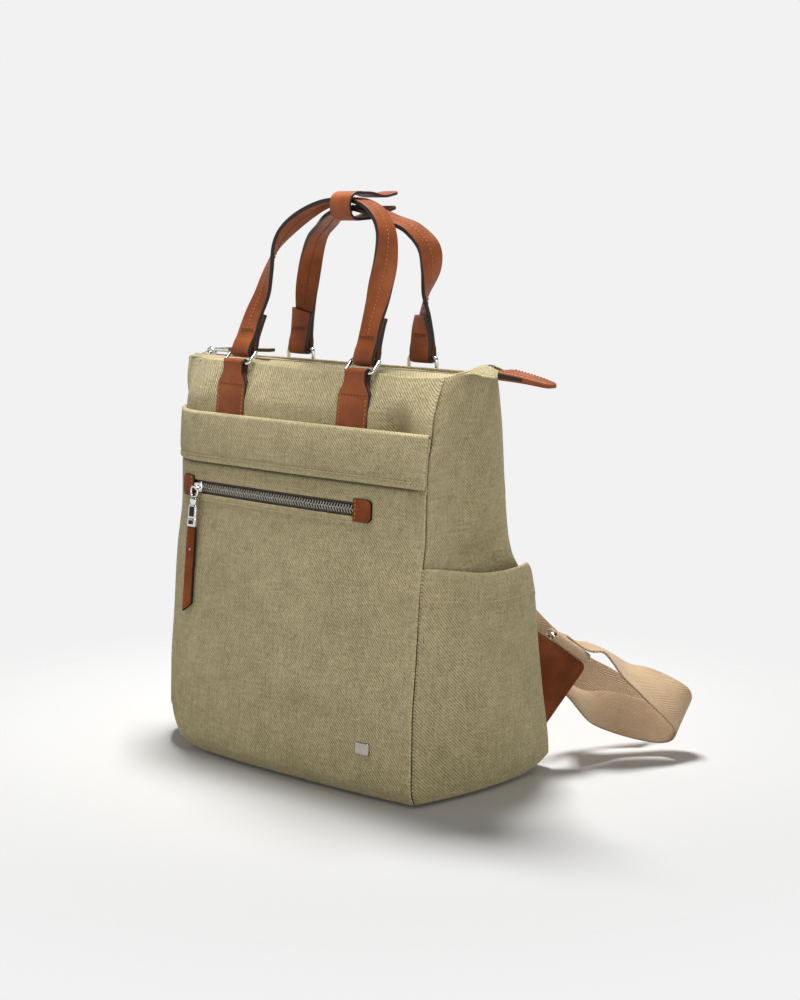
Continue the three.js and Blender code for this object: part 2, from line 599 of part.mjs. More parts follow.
function zipStrip(left, right, half, top, thick) {
  const xs = [left, ...TOP_X.filter((x) => x > left && x < right), right];
  const face = (down) => (x, w) => [x, zipY(x) + w * half, topZ(x) + top - down];
  return sheet(xs, [-1, 1], face(0), face(thick));
}
addPiece('top_zip_tape', zipStrip(TOP_ZIP.left, TOP_ZIP.right + 22, TOP_ZIP.tapeHalf,
  -TOP_ZIP.sunk, TAPE), TAPE_LOOK);
const chainTop = CHAIN.thick + 0.3 - TOP_ZIP.sunk;
addPiece('top_zip_chain', zipStrip(TOP_ZIP.left + 2, TOP_ZIP.right, CHAIN.width / 2,
  chainTop, CHAIN.thick), METAL_LOOK);

// Top slider with its pull lying to the right along the zip
const topSliderY = zipY(TOP_SLIDER_X);
const topSliderZ = topZ(TOP_SLIDER_X) + chainTop + 0.3;
addPiece('top_zip_slider', slider(true).translate(TOP_SLIDER_X, topSliderY, topSliderZ), METAL_LOOK);
const pullZ = topSliderZ + SLIDER.plate + LINK.wire + 0.5;
function laid(geometry, along) {
  const turn = Math.atan2(zipY(TOP_SLIDER_X + 60) - topSliderY, 60);
  return geometry.translate(0, 0, -along).rotateY(-Math.PI / 2).rotateX(Math.PI / 2).rotateZ(turn)
    .translate(TOP_SLIDER_X, topSliderY, pullZ);
}
addPiece('top_pull_link', laid(pullLink(), LINK.halfHeight), METAL_LOOK);
addPiece('top_pull_bar', laid(pullBar(), linkLow), METAL_LOOK);
addPiece('top_pull_strip', laid(pullStrip(TOP_STRIP), stripTop), LEATHER_LOOK);

// Leather tail over the end of the zip
const TAIL_T = [0, 0.12, 0.4, 0.75, 0.93, 1];
addPiece('top_zip_tail', loft(TAIL_T.map((t) => {
  const x = risen(TAIL.start, TAIL.end, t);
  const round = t > 0.9 ? 1 - 0.5 * (t - 0.9) / 0.1 : 1;
  const half = risen(TAIL.half, TAIL.tipHalf, t) * round;
  const thick = risen(TAIL.thick, TAIL.tipThick, t) * round / 2;
  const z = topZ(BEAK.end) - 0.4 - TAIL.drop * t;
  const corner = (a, b) => new THREE.Vector3(x, zipY(x) + a * half, z + b * thick);
  return [corner(-1, -0.5), corner(-0.8, -1), corner(0.8, -1), corner(1, -0.5),
    corner(1, 0.5), corner(0.8, 1), corner(-0.8, 1), corner(-1, 0.5)];
})), LEATHER_LOOK);

// Carry handles: tabs on the panels, rings, straps and the keeper that holds them together
const loopInner = RING.wire + RING.clearance;
const loopOuter = loopInner + LOOP_LEATHER;
function leatherLoop(width, x, y, z) {
  const shape = new THREE.Shape();
  shape.absarc(0, 0, loopOuter, 0, 2 * Math.PI, false);
  const hole = new THREE.Path();
  hole.absarc(0, 0, loopInner, 0, 2 * Math.PI, true);
  shape.holes.push(hole);
  return extruded(shape, width, 6).translate(0, 0, -width / 2).rotateY(Math.PI / 2).translate(x, y, z);
}

function panelY(end, x, z) {
  const s = x / HALF_WIDTH;
  return end === 'front' ? frontY(s, z) + recess(s, z) : backY(s, z);
}

function handleTab(end, x) {
  const out = end === 'front' ? -1 : 1;
  const bar = RING_AT[end];
  const high = bar.z - loopInner - LOOP_LEATHER / 2;
  const rows = [TAB.lowZ, ...LEVELS.filter((level) => level > TAB.lowZ && level <= TAB.bendZ), high];
  const strip = loft(rows.map((z) => {
    const bend = smooth((z - TAB.bendZ) / (high - TAB.bendZ));
    const panel = panelY(end, x, z) + out * (GAP + TAB.leaf / 2);
    const y = risen(panel, bar.y, bend);
    const half = risen(TAB.wide, TAB.narrow, smooth((z - 312) / (high - 312))) / 2;
    const corner = (a, b) => new THREE.Vector3(x + a * half, y + b * TAB.leaf / 2, z);
    return [corner(-1, -1), corner(1, -1), corner(1, 1), corner(-1, 1)];
  }));
  return joined([strip, leatherLoop(TAB.narrow, x, bar.y, bar.z)]);
}

function curveOf(rows) {
  return new THREE.CatmullRomCurve3(rows.map((r) => new THREE.Vector3(r.x, r.y, r.z)), false, 'centripetal');
}

// First stretch of a curve, from its start or from its end
function lead(curve, start, reach) {
  const share = reach / curve.getLength();
  const stops = [0, 1, 2, 3].map((k) => Math.abs(start - share * k / 3));
  return new THREE.CatmullRomCurve3(stops.map((stop) => curve.getPointAt(stop)));
}

// The strap faces the front at its rings and turns edge to the front at its top; its ends are doubled
function handleStrap(end, rows) {
  const curve = curveOf(rows);
  const out = end === 'front' ? -1 : 1;
  const across = (point, turn) => {
    const height = smooth((point.z - TWIST.low) / (TWIST.high - TWIST.low));
    const angle = turn * (1 - height) * Math.PI / 2;
    return new THREE.Vector3(out * Math.sin(angle), Math.cos(angle), 0);
  };
  const bar = RING_AT[end];
  const barY = bar.y + 2 * RING.halfHeight * Math.sin(bar.tilt);
  const barZ = bar.z + 2 * RING.halfHeight * Math.cos(bar.tilt);
  const whole = (t) => across(curve.getPoint(t), t < 0.5 ? 1 : -1);
  const pieces = [strap(curve, HANDLE.steps, HANDLE.width, HANDLE.thick, whole)];
  for (const [start, turn] of [[0, 1], [1, -1]]) {
    const stretch = lead(curve, start, HANDLE.doubled);
    pieces.push(strap(stretch, 4, HANDLE.width, HANDLE.leaf, (t) => across(stretch.getPoint(t), turn)));
    pieces.push(leatherLoop(HANDLE.width, curve.getPoint(start).x, barY, barZ));
  }
  return joined(pieces);
}

function handleRing(end, x) {
  const { y, z, tilt } = RING_AT[end];
  const ring = wireRing(RING.halfWidth, RING.halfHeight, RING.wire);
  return ring.translate(0, 0, RING.halfHeight).rotateX(-tilt).translate(x, y, z);
}
for (const [end, rows] of [['front', FRONT_HANDLE], ['back', BACK_HANDLE]]) {
  for (const [name, side] of [['left', -1], ['right', 1]]) {
    addPiece(`handle_tab_${end}_${name}`, handleTab(end, side * TAB.x), LEATHER_LOOK);
    addPiece(`handle_ring_${end}_${name}`, handleRing(end, side * TAB.x), METAL_LOOK);
  }
  addPiece(`handle_strap_${end}`, handleStrap(end, rows), LEATHER_LOOK);
}

function roundedRect(halfX, halfY, corner) {
  const shape = new THREE.Shape();
  shape.absarc(halfX - corner, halfY - corner, corner, 0, Math.PI / 2);
  shape.absarc(corner - halfX, halfY - corner, corner, Math.PI / 2, Math.PI);
  shape.absarc(corner - halfX, corner - halfY, corner, Math.PI, 1.5 * Math.PI);
  shape.absarc(halfX - corner, corner - halfY, corner, 1.5 * Math.PI, 2 * Math.PI);
  shape.closePath();
  return shape;
}
const keeperShape = roundedRect(KEEPER.halfDeep, KEEPER.halfTall, KEEPER.corner);
keeperShape.holes.push(roundedRect(KEEPER.halfDeep - KEEPER.thick, KEEPER.halfTall - KEEPER.thick,
  KEEPER.corner - KEEPER.thick));
const keeperLoop = extruded(keeperShape, KEEPER.width, 4);
keeperLoop.translate(0, 0, -KEEPER.width / 2).rotateX(Math.PI / 2).rotateZ(Math.PI / 2)
  .translate(KEEPER.x, KEEPER.y, KEEPER.z);
const keeperFlaps = KEEPER_FLAPS.map((flap) => {
  const at = (y, z) => ({ x: KEEPER.x, y: KEEPER.y + y, z: KEEPER.z + z });
  const rows = [at(KEEPER.halfDeep - 6, flap.root), at(KEEPER.halfDeep + flap.reach / 2, flap.middle),
    at(KEEPER.halfDeep + flap.reach, flap.tip)];
  return strap(curveOf(rows), 6, KEEPER.width, KEEPER.thick, () => new THREE.Vector3(1, 0, 0));
});
addPiece('handle_keeper', joined([keeperLoop, ...keeperFlaps]), LEATHER_LOOK);

// Shoulder straps, made on the right and mirrored to the left
const finTop = new THREE.Vector3(...FIN.top);
const finTip = new THREE.Vector3(...FIN.tip);
const finLow = new THREE.Vector3(...FIN.low);
const finEdge = finTip.clone().sub(finTop).normalize();
const finRise = finTop.clone().sub(finLow);
const finOut = finRise.addScaledVector(finEdge, -finRise.dot(finEdge)).normalize();
const finFace = new THREE.Vector3().crossVectors(finEdge, finOut);

function finPlate() {
  const corners = [finTop, finTip, finLow];
  return loft([-1, 1].map((k) => corners.map((c) => c.clone().addScaledVector(finFace, k * FIN.thick / 2))));
}

// Places a shape onto the fin's edge: X along the edge, Y behind the fin and Z away from it
function onFinEdge(geometry) {
  const place = finTip.clone().addScaledVector(finEdge, -STRAP_RING.along).addScaledVector(finOut, STRAP_RING.out);
  const turn = new THREE.Matrix4().makeBasis(finEdge, finFace.clone().negate(), finOut).setPosition(place);
  return geometry.applyMatrix4(turn);
}

function webbingRoll() {
  const inner = STRAP_RING.wire + RING.clearance;
  const shape = new THREE.Shape();
  shape.absarc(0, 0, inner + WEBBING.roll, 0, 2 * Math.PI, false);
  const hole = new THREE.Path();
  hole.absarc(0, 0, inner, 0, 2 * Math.PI, true);
  shape.holes.push(hole);
  return extruded(shape, WEBBING.rollWide, 6).translate(0, 0, -WEBBING.rollWide / 2).rotateY(Math.PI / 2);
}

// A row's wide is the share of the full width left where the webbing is bunched in its ring
function webbing(rows, steps) {
  const width = curveOf(rows.map((r) => ({ x: r.wx, y: r.wy, z: r.wz })));
  const share = (t) => {
    const at = t * (rows.length - 1);
    const i = Math.min(Math.floor(at), rows.length - 2);
    return risen(rows[i].wide ?? 1, rows[i + 1].wide ?? 1, at - i);
  };
  return strap(curveOf(rows), steps, WEBBING.width, WEBBING.thick, (t) => width.getPoint(t), share);
}

function mirrored(geometry) {
  const flipped = mergeVertices(geometry).scale(-1, 1, 1);
  flipped.setIndex(Array.from(flipped.index.array).reverse());
  return flipped;
}
const strapRing = wireRing(STRAP_RING.halfWidth, STRAP_RING.halfHeight, STRAP_RING.wire)
  .translate(0, 0, STRAP_RING.halfHeight).rotateX(-STRAP_RING.tilt);
const farRoll = webbingRoll().translate(0, 0, 2 * STRAP_RING.halfHeight).rotateX(-STRAP_RING.tilt);
const strapPieces = [
  ['strap_fin', finPlate(), LEATHER_LOOK],
  ['strap_ring', onFinEdge(strapRing), METAL_LOOK],
  ['strap_roll', onFinEdge(webbingRoll()), WEBBING_LOOK],
  ['strap_upper', webbing(UPPER_STRAP, 18), WEBBING_LOOK],
  ['strap_loop', joined([webbing(STRAP_LOOP, 32), onFinEdge(farRoll)]), WEBBING_LOOK],
];
for (const [name, geometry, look] of strapPieces) {
  addPiece(`${name}_right`, geometry, look);
  addPiece(`${name}_left`, mirrored(geometry), look);
}

export default bag;
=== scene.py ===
import math

import bmesh
import bpy
import numpy as np
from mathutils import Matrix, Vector


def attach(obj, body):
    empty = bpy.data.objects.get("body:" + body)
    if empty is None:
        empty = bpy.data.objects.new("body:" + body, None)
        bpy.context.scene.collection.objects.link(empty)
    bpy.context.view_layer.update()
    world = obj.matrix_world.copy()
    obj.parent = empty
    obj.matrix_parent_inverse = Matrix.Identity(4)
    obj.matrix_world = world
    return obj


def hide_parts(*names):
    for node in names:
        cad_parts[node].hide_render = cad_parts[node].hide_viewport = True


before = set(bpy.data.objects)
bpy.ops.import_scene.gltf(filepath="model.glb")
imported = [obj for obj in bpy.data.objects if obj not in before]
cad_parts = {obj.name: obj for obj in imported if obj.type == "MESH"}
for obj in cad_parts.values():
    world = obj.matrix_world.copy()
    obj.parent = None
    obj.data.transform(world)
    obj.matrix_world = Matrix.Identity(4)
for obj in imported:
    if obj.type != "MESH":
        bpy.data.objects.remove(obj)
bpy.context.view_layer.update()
print("frame loaded:", len(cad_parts), "solids")

mm = 0.001  # shapes are worked out in millimetres


# shader sums

class Wire:
    def __init__(self, paint, socket):
        self.paint = paint
        self.socket = socket

    def sum(self, operation, *terms):
        return self.paint.node("ShaderNodeMath", {"operation": operation}, dict(enumerate(terms)))

    def __add__(self, other):
        return self.sum("ADD", self, other)

    def __radd__(self, other):
        return self.sum("ADD", other, self)

    def __sub__(self, other):
        return self.sum("SUBTRACT", self, other)

    def __rsub__(self, other):
        return self.sum("SUBTRACT", other, self)

    def __mul__(self, other):
        return self.sum("MULTIPLY", self, other)

    def __rmul__(self, other):
        return self.sum("MULTIPLY", other, self)

    def __truediv__(self, other):
        return self.sum("DIVIDE", self, other)

    def __pow__(self, other):
        return self.sum("POWER", self, other)


class Paint:
    def __init__(self, name):
        self.material = bpy.data.materials.new(name)
        self.material.use_nodes = True
        self.tree = self.material.node_tree
        self.tree.nodes.clear()
        self.shader = self.tree.nodes.new("ShaderNodeBsdfPrincipled")
        out = self.tree.nodes.new("ShaderNodeOutputMaterial")
        self.tree.links.new(self.shader.outputs[0], out.inputs[0])

    def put(self, socket, value):
        if isinstance(value, Wire):
            self.tree.links.new(value.socket, socket)
        else:
            socket.default_value = value

    def node(self, kind, settings=None, values=None, out=0):
        made = self.tree.nodes.new(kind)
        for key, value in (settings or {}).items():
            if key == "stops":
                ramp = made.color_ramp.elements
                while len(ramp) < len(value):
                    ramp.new(0.5)
                for element, (place, colour) in zip(ramp, value):
                    element.position = place
                    element.color = (*colour, 1)
            else:
                setattr(made, key, value)
        for key, value in (values or {}).items():
            self.put(made.inputs[key], value)
        return Wire(self, made.outputs[out])

    def noise(self, where, scale, detail=2.0, rough=0.5):
        return self.node("ShaderNodeTexNoise", {}, {"Vector": where, "Scale": scale, "Detail": detail,
                                                    "Roughness": rough})

    def stretched(self, where, factors):
        return self.node("ShaderNodeVectorMath", {"operation": "MULTIPLY"}, {0: where, 1: factors})

    def blend(self, factor, first, second, how="MIX"):
        colours = [(*c, 1) if isinstance(c, tuple) else c for c in (first, second)]
        return self.node("ShaderNodeMix", {"data_type": "RGBA", "blend_type": how},
                         {0: factor, 6: colours[0], 7: colours[1]}, out=2)

    def marked(self, name, vector=False):
        return self.node("ShaderNodeAttribute", {"attribute_name": name}, out=1 if vector else 2)

    def parts(self, where):
        split = self.tree.nodes.new("ShaderNodeSeparateXYZ")
        self.put(split.inputs[0], where)
        return [Wire(self, s) for s in split.outputs]

    def clamped(self, value, low, high):
        return self.node("ShaderNodeMapRange", {"interpolation_type": "SMOOTHSTEP"},
                         {"Value": value, "From Min": low, "From Max": high})

    def wave(self, value, pitch):
        turns = value * (2 * math.pi / pitch)
        return turns.sum("SINE", turns)

    def bump(self, height, distance, strength=1.0):
        return self.node("ShaderNodeBump", {}, {"Height": height, "Distance": distance, "Strength": strength})

    def done(self, values):
        for key, value in values.items():
            self.put(self.shader.inputs[key], value)
        return self.material


# seam is the colour of painted shade in the grooves of the seams; worn is the pale of rubbed wear
canvasLook = {"twill": 0.002828, "counter": 0.0020, "relief": 0.00045,
              "dark": (0.213, 0.173, 0.078), "light": (0.516, 0.438, 0.250),
              "worn": (0.60, 0.52, 0.31), "seam": (0.075, 0.061, 0.028),
              "slubs": ((420, 60, 1), (60, 420, 1))}


def canvasPaint():
    p = Paint("washedCanvas")
    place = p.marked("weave", vector=True)
    u, v, _ = p.parts(place)
    across, along = u + v, u - v
    twill = p.wave(across, canvasLook["twill"])
    counter = p.wave(along, canvasLook["counter"])
    fleck = p.noise(p.node("ShaderNodeCombineXYZ", {}, {0: across * 420.0, 1: along * 190.0}), 1.0, 1.0)
    warp, weft = (p.noise(p.stretched(place, pull), 1.0, 1.0) for pull in canvasLook["slubs"])
    slub = warp + weft
    washed = p.noise(place, 11.0, 4.0, 0.6)
    cloud = p.noise(place, 45.0, 3.0, 0.6)
    tone = 0.5 + (washed - 0.5) * 0.5 + (cloud - 0.5) * 0.35 + (fleck - 0.5) * 0.9 + (slub - 1.0) * 0.5
    wear = p.marked("wear")  # above 0 rubbed pale, below 0 painted shade in the groove of a seam
    tone = tone + twill * (0.27 - wear * 0.20) + counter * 0.10
    colour = p.blend(tone, canvasLook["dark"], canvasLook["light"])
    colour = p.blend(p.clamped(wear, 0.0, 1.0) * 0.14, colour, canvasLook["worn"])
    # painted shade where the mark is below 0, in the grooves of the seams
    colour = p.blend(p.clamped(0 - wear, 0.0, 0.9), colour, canvasLook["seam"])
    height = twill * 0.5 + counter * 0.25 + (fleck - 0.5) * 1.2 + (slub - 1.0) * 0.5
    return p.done({"Base Color": colour, "Roughness": 0.92, "Sheen Weight": 0.10, "Sheen Roughness": 0.6,
                   "Specular IOR Level": 0.15, "Normal": p.bump(height, canvasLook["relief"], 0.85)})


leatherLook = {"face": (0.270, 0.074, 0.019), "deep": (0.165, 0.041, 0.010),
               "glow": (0.360, 0.116, 0.033), "edge": (0.022, 0.016, 0.014), "grain": 0.00012}


def leatherPaint(name, tint, shine):
    p = Paint(name)
    place = p.marked("weave", vector=True)
    soft = p.noise(place, 26.0, 3.0, 0.55)
    fine = p.noise(place, 420.0, 2.0, 0.6)
    pores = p.node("ShaderNodeTexVoronoi", {"feature": "DISTANCE_TO_EDGE"},
                   {"Vector": place, "Scale": 900.0})
    face = p.blend(p.clamped(soft, 0.3, 0.72), leatherLook["deep"], leatherLook["face"])
    face = p.blend(p.clamped(soft * 0.6 + fine * 0.4, 0.5, 0.75) * 0.55, face, leatherLook["glow"])
    # a tint below 1 darkens all the leather; on the strap fin it is painted shade
    face = p.blend(1.0, face, (tint, tint * 0.94, tint * 0.92), "MULTIPLY")
    rim = p.clamped(p.marked("rim"), 0.35, 0.65)
    colour = p.blend(rim, face, leatherLook["edge"])
    grain = p.clamped(pores, 0.0, 0.12) * 0.6 + fine * 0.5
    rough = 0.50 + (fine - 0.5) * 0.25 - rim * 0.14
    return p.done({"Base Color": colour, "Roughness": rough, "Specular IOR Level": shine,
                   "Normal": p.bump(grain * (1 - rim * 0.8), leatherLook["grain"], 0.6)})


def metalPaint(name, tone, rough):
    p = Paint(name)
    place = p.node("ShaderNodeTexCoord", out=3)
    smear = p.noise(place, 160.0, 3.0, 0.6)
    fine = p.noise(p.stretched(place, (1, 1, 9)), 900.0, 1.0)
    colour = p.blend(p.clamped(smear, 0.3, 0.7), tuple(0.86 * c for c in tone), tone)
    return p.done({"Base Color": colour, "Metallic": 1.0, "Roughness": rough + (smear - 0.4) * 0.14,
                   "Normal": p.bump(fine, 0.00002, 0.25)})


webbingLook = {"rib": 0.0021, "stripe": 0.0095, "yarn": 0.0012, "checkPitch": 0.0026,
               "dark": (0.290, 0.184, 0.096), "light": (0.560, 0.408, 0.254),
               "check": (0.150, 0.100, 0.062)}


def webbingPaint():
    p = Paint("herringboneWebbing")
    place = p.marked("weave", vector=True)
    u, v, _ = p.parts(place)
    stripes = v / webbingLook["stripe"]
    zigzag = stripes.sum("PINGPONG", stripes, 1.0) * webbingLook["stripe"]
    rib = p.wave(u + zigzag, webbingLook["rib"])
    yarn = p.wave(v, webbingLook["yarn"])
    slubs = p.noise(p.stretched(place, (120, 1100, 1)), 1.0, 1.0)
    blot = p.noise(place, 40.0, 3.0, 0.6)
    tone = 0.48 + rib * 0.2 + yarn * 0.08 + (slubs - 0.5) * 0.5 + (blot - 0.5) * 0.5
    colour = p.blend(tone, webbingLook["dark"], webbingLook["light"])
    selvedge = p.clamped(p.marked("rim"), 0.45, 0.75)
    check = p.clamped(p.wave(u, webbingLook["checkPitch"]), -0.15, 0.15)
    colour = p.blend(selvedge * check * 0.55, colour, webbingLook["check"])
    height = rib * 0.6 + yarn * 0.25 + (slubs - 0.5) * 0.8
    return p.done({"Base Color": colour, "Roughness": 0.9, "Sheen Weight": 0.15, "Sheen Roughness": 0.5,
                   "Specular IOR Level": 0.2, "Normal": p.bump(height, 0.0003, 0.8)})


# the tape is a brown, drawn much darker as painted shade in the gaps between the zip teeth
tapeLook = {"rib": 0.0011, "dark": (0.060, 0.050, 0.036), "light": (0.130, 0.110, 0.080)}


def tapePaint():
    p = Paint("zipTape")
    place = p.marked("weave", vector=True)
    u, v, _ = p.parts(place)
    ribs = p.wave(u, tapeLook["rib"]) * p.wave(v, tapeLook["rib"])
    patch = p.noise(place, 60.0, 3.0)
    colour = p.blend(0.5 + ribs * 0.25 + (patch - 0.5) * 0.5, tapeLook["dark"], tapeLook["light"])
    return p.done({"Base Color": colour, "Roughness": 0.88, "Specular IOR Level": 0.2,
                   "Normal": p.bump(ribs, 0.0002, 0.7)})


def threadPaint(name, tone):
    p = Paint(name)
    place = p.node("ShaderNodeTexCoord", out=3)
    twist = p.noise(place, 1800.0, 1.0)
    colour = p.blend(p.clamped(twist, 0.3, 0.7), tuple(0.62 * c for c in tone), tone)
    return p.done({"Base Color": colour, "Roughness": 0.75, "Specular IOR Level": 0.12,
                   "Normal": p.bump(twist, 0.0001, 0.6)})


finishes = {
    "canvas": canvasPaint(),
    "leather": leatherPaint("cognacLeather", 1.0, 0.24),
    # the strap fin's leather is the cognac leather darkened to 0.62: painted shade for the fin, which sits in
    # shadow
    "finShadeLeather": leatherPaint("shadedLeather", 0.62, 0.08),
    # a darker, less shiny copy of the cognac leather, for the zip ends and the front pull's strip
    "trimLeather": leatherPaint("darkerLeather", 0.84, 0.06),
    "metal": metalPaint("polishedSilver", (0.80, 0.79, 0.77), 0.13),
    "teeth": metalPaint("zipNickel", (0.44, 0.42, 0.37), 0.25),
    # near-black metal for the front pull's inlay: painted dark reflection of the polished bar
    "darkMetal": metalPaint("inlayPaintedReflection", (0.035, 0.034, 0.034), 0.22),
    "webbing": webbingPaint(),
    "tape": tapePaint(),
    "canvasThread": threadPaint("khakiThread", (0.53, 0.45, 0.26)),
    "lightThread": threadPaint("tanThread", (0.50, 0.20, 0.080)),
    "darkThread": threadPaint("brownThread", (0.17, 0.055, 0.024)),
}
print("finishes made:", len(finishes))


# small maths

def eased(t):
    c = np.clip(t, 0, 1)
    return c * c * (3 - 2 * c)


def between(a, b, t):
    return a + (b - a) * t


def unit(v):
    v = np.asarray(v, float)
    return v / np.maximum(np.linalg.norm(v, axis=-1, keepdims=True), 1e-9)


def spots(x, y, z):  # one point for each place in the arrays, plain numbers are spread over them
    return np.stack(np.broadcast_arrays(x, y, z), axis=-1)


def circle(count):
    return np.linspace(0, 2 * math.pi, count, endpoint=False)


def swell(a, b, seed, size, count=7):
    rng = np.random.RandomState(seed)
    total = np.zeros(np.broadcast(a, b).shape)
    for _ in range(count):
        angle, phase, stretch = rng.uniform(0, math.pi), rng.uniform(0, 6.28), rng.uniform(0.6, 1.7)
        total = total + np.sin((a * math.cos(angle) + b * math.sin(angle)) * 6.28 / (size * stretch) + phase)
    return total / math.sqrt(count)


def curvePoints(points, count):
    pts = np.asarray(points, float)
    ext = np.vstack([2 * pts[0] - pts[1], pts, 2 * pts[-1] - pts[-2]])
    out = []
    for t in np.linspace(0, len(pts) - 1, count):
        i = min(int(t), len(pts) - 2)
        w = t - i
        p0, p1, p2, p3 = ext[i:i + 4]
        d0, d1, d2 = (max(np.linalg.norm(b - a) ** 0.5, 1e-4) for a, b in ((p0, p1), (p1, p2), (p2, p3)))
        t1 = ((p1 - p0) / d0 - (p2 - p0) / (d0 + d1) + (p2 - p1) / d1) * d1
        t2 = ((p2 - p1) / d1 - (p3 - p1) / (d1 + d2) + (p3 - p2) / d2) * d1
        cubic, square = 2 * p1 - 2 * p2 + t1 + t2, -3 * p1 + 3 * p2 - 2 * t1 - t2
        out.append(cubic * w ** 3 + square * w ** 2 + t1 * w + p1)
    return np.array(out)


def lengthAlong(path):
    return np.concatenate([[0], np.cumsum(np.linalg.norm(np.diff(path, axis=0), axis=1))])


def lengthAcross(grid, axis):  # mean length of a grid's lines along one axis
    steps = np.linalg.norm(np.diff(grid, axis=axis), axis=2)
    return np.concatenate([[0], np.cumsum(steps.mean(1 - axis))])


def evenly(path, step=None, count=None):
    path = np.asarray(path, float)
    gone = lengthAlong(path[:, :3])
    n = count or max(2, int(round(gone[-1] / step)) + 1)
    at = np.linspace(0, gone[-1], n)
    return np.stack([np.interp(at, gone, path[:, k]) for k in range(path.shape[1])], axis=1)


def headings(path):
    return unit(np.gradient(path, axis=0))


# mesh building: a part is (points, faces, weave, marks)

def sheetPart(outer, inner, active=None, wear=None):
    nu, nv = outer.shape[:2]
    on = np.ones((nu - 1, nv - 1), bool) if active is None else active
    number = lambda k, i, j: (k * nu + i) * nv + j
    faces, centre, touch = [], np.zeros((nu, nv, 3)), np.zeros((nu, nv))
    for i, j in zip(*np.nonzero(on)):
        faces.append((number(0, i, j), number(0, i + 1, j), number(0, i + 1, j + 1), number(0, i, j + 1)))
        faces.append((number(1, i, j), number(1, i, j + 1), number(1, i + 1, j + 1), number(1, i + 1, j)))
        middle = (outer[i, j] + outer[i + 1, j] + outer[i + 1, j + 1] + outer[i, j + 1]) / 4
        for a, b in ((i, j), (i + 1, j), (i + 1, j + 1), (i, j + 1)):
            centre[a, b] += middle
            touch[a, b] += 1
    pad = np.pad(on, 1)
    edges = [((i, j), (i, j + 1)) for i in range(nu) for j in range(nv - 1)
             if pad[i, j + 1] != pad[i + 1, j + 1]]
    edges += [((i, j), (i + 1, j)) for i in range(nu - 1) for j in range(nv)
              if pad[i + 1, j] != pad[i + 1, j + 1]]
    points = [outer.reshape(-1, 3), inner.reshape(-1, 3)]
    start, ring = 2 * nu * nv, {}
    extra = []
    for a in sorted({p for edge in edges for p in edge}):
        po, pi = outer[a], inner[a]
        half = (po - pi) / 2
        out = po - centre[a] / max(touch[a], 1)
        out = out - half * (out @ half) / max(half @ half, 1e-9)
        out = unit(out) * np.linalg.norm(half)
        ring[a] = start + len(extra)
        extra += [(po + pi) / 2 + half * math.cos(k) + out * math.sin(k)
                  for k in (math.pi / 4, math.pi / 2, math.pi * 3 / 4)]
    for a, b in edges:
        line = lambda q: [number(0, *q), ring[q], ring[q] + 1, ring[q] + 2, number(1, *q)]
        la, lb = line(a), line(b)
        faces += [(la[k], lb[k], lb[k + 1], la[k + 1]) for k in range(4)]
    points.append(np.array(extra).reshape(-1, 3))
    alongU, alongV = lengthAcross(outer, 0), lengthAcross(outer, 1)
    weave = spots(alongU[:, None], alongV[None, :], 0.0).reshape(-1, 3)
    mark = np.zeros(nu * nv) if wear is None else np.broadcast_to(wear, (nu, nv)).reshape(-1)
    order = [a[0] * nv + a[1] for a in sorted(ring)]
    weave = np.vstack([weave, weave, np.repeat(weave[order], 3, axis=0)])
    # rim points are rubbed pale, except where the mark is below 0 and carries painted shade
    edge = np.where(mark[order] < 0, mark[order], np.maximum(mark[order], 0.6))
    mark = np.concatenate([mark, mark, np.repeat(edge, 3)])
    used = np.unique(np.concatenate([np.asarray(f) for f in faces]))
    remap = -np.ones(len(weave), int)
    remap[used] = np.arange(len(used))
    faces = [tuple(int(remap[k]) for k in f) for f in faces]
    return np.vstack(points)[used], faces, weave[used], {"wear": mark[used]}


def ringFaces(rings, count, closed=False):
    faces = []
    for i in range(rings if closed else rings - 1):
        for j in range(count):
            k, m = (j + 1) % count, (i + 1) % rings
            faces.append((i * count + j, i * count + k, m * count + k, m * count + j))
    return faces


def ribbonSection(count, bevel):
    flat = np.linspace(-1 + bevel, 1 - bevel, count)
    top = [(a, 1.0, 0.0) for a in flat]
    right = [(1 - bevel * 0.45, 0.93, 1.0), (1.0, 0.5, 1.0), (1.0, -0.5, 1.0), (1 - bevel * 0.45, -0.93, 1.0)]
    under = [(a, -1.0, 0.0) for a in flat[::-1]]
    left = [(-a, -b, m) for a, b, m in right]
    return np.array(top + right + under + left)


def ribbonPart(path, side, width, thick, count=7, bevel=0.09, crown=0.0):
    path, side = np.asarray(path, float), unit(side)
    heading = headings(path)
    side = unit(side - heading * (side * heading).sum(1)[:, None])
    up = np.cross(heading, side)
    wide = np.broadcast_to(width, len(path)) / 2
    deep = np.broadcast_to(thick, len(path)) / 2
    section = ribbonSection(count, bevel)
    ring = len(section)
    a, b, m = section.T
    arch = 1 + crown * (1 - a * a)
    points = (path[:, None] + side[:, None] * (a[None, :, None] * wide[:, None, None])
              + up[:, None] * ((b * arch)[None, :, None] * deep[:, None, None]))
    gone = lengthAlong(path)
    weave = spots(gone[:, None], a[None] * wide[:, None], b[None] * 3.0)
    marks = np.broadcast_to(m[None], (len(path), ring)).copy()
    points, weave = points.reshape(-1, 3), weave.reshape(-1, 3)
    faces = ringFaces(len(path), ring)
    n = len(points)
    last = (len(path) - 1) * ring
    points = np.vstack([points, points[:ring], points[last:]])
    weave = np.vstack([weave, weave[:ring], weave[last:]])
    marks = np.concatenate([marks.reshape(-1), np.ones(2 * ring)])
    faces.append(tuple(range(n + ring - 1, n - 1, -1)))
    faces.append(tuple(range(n + ring, n + 2 * ring)))
    faces += [(j, (j + 1) % ring, n + (j + 1) % ring, n + j) for j in range(ring)]
    faces += [(last + j, last + (j + 1) % ring, n + ring + (j + 1) % ring, n + ring + j)
              for j in range(ring)]
    return points, faces, weave, {"rim": marks}


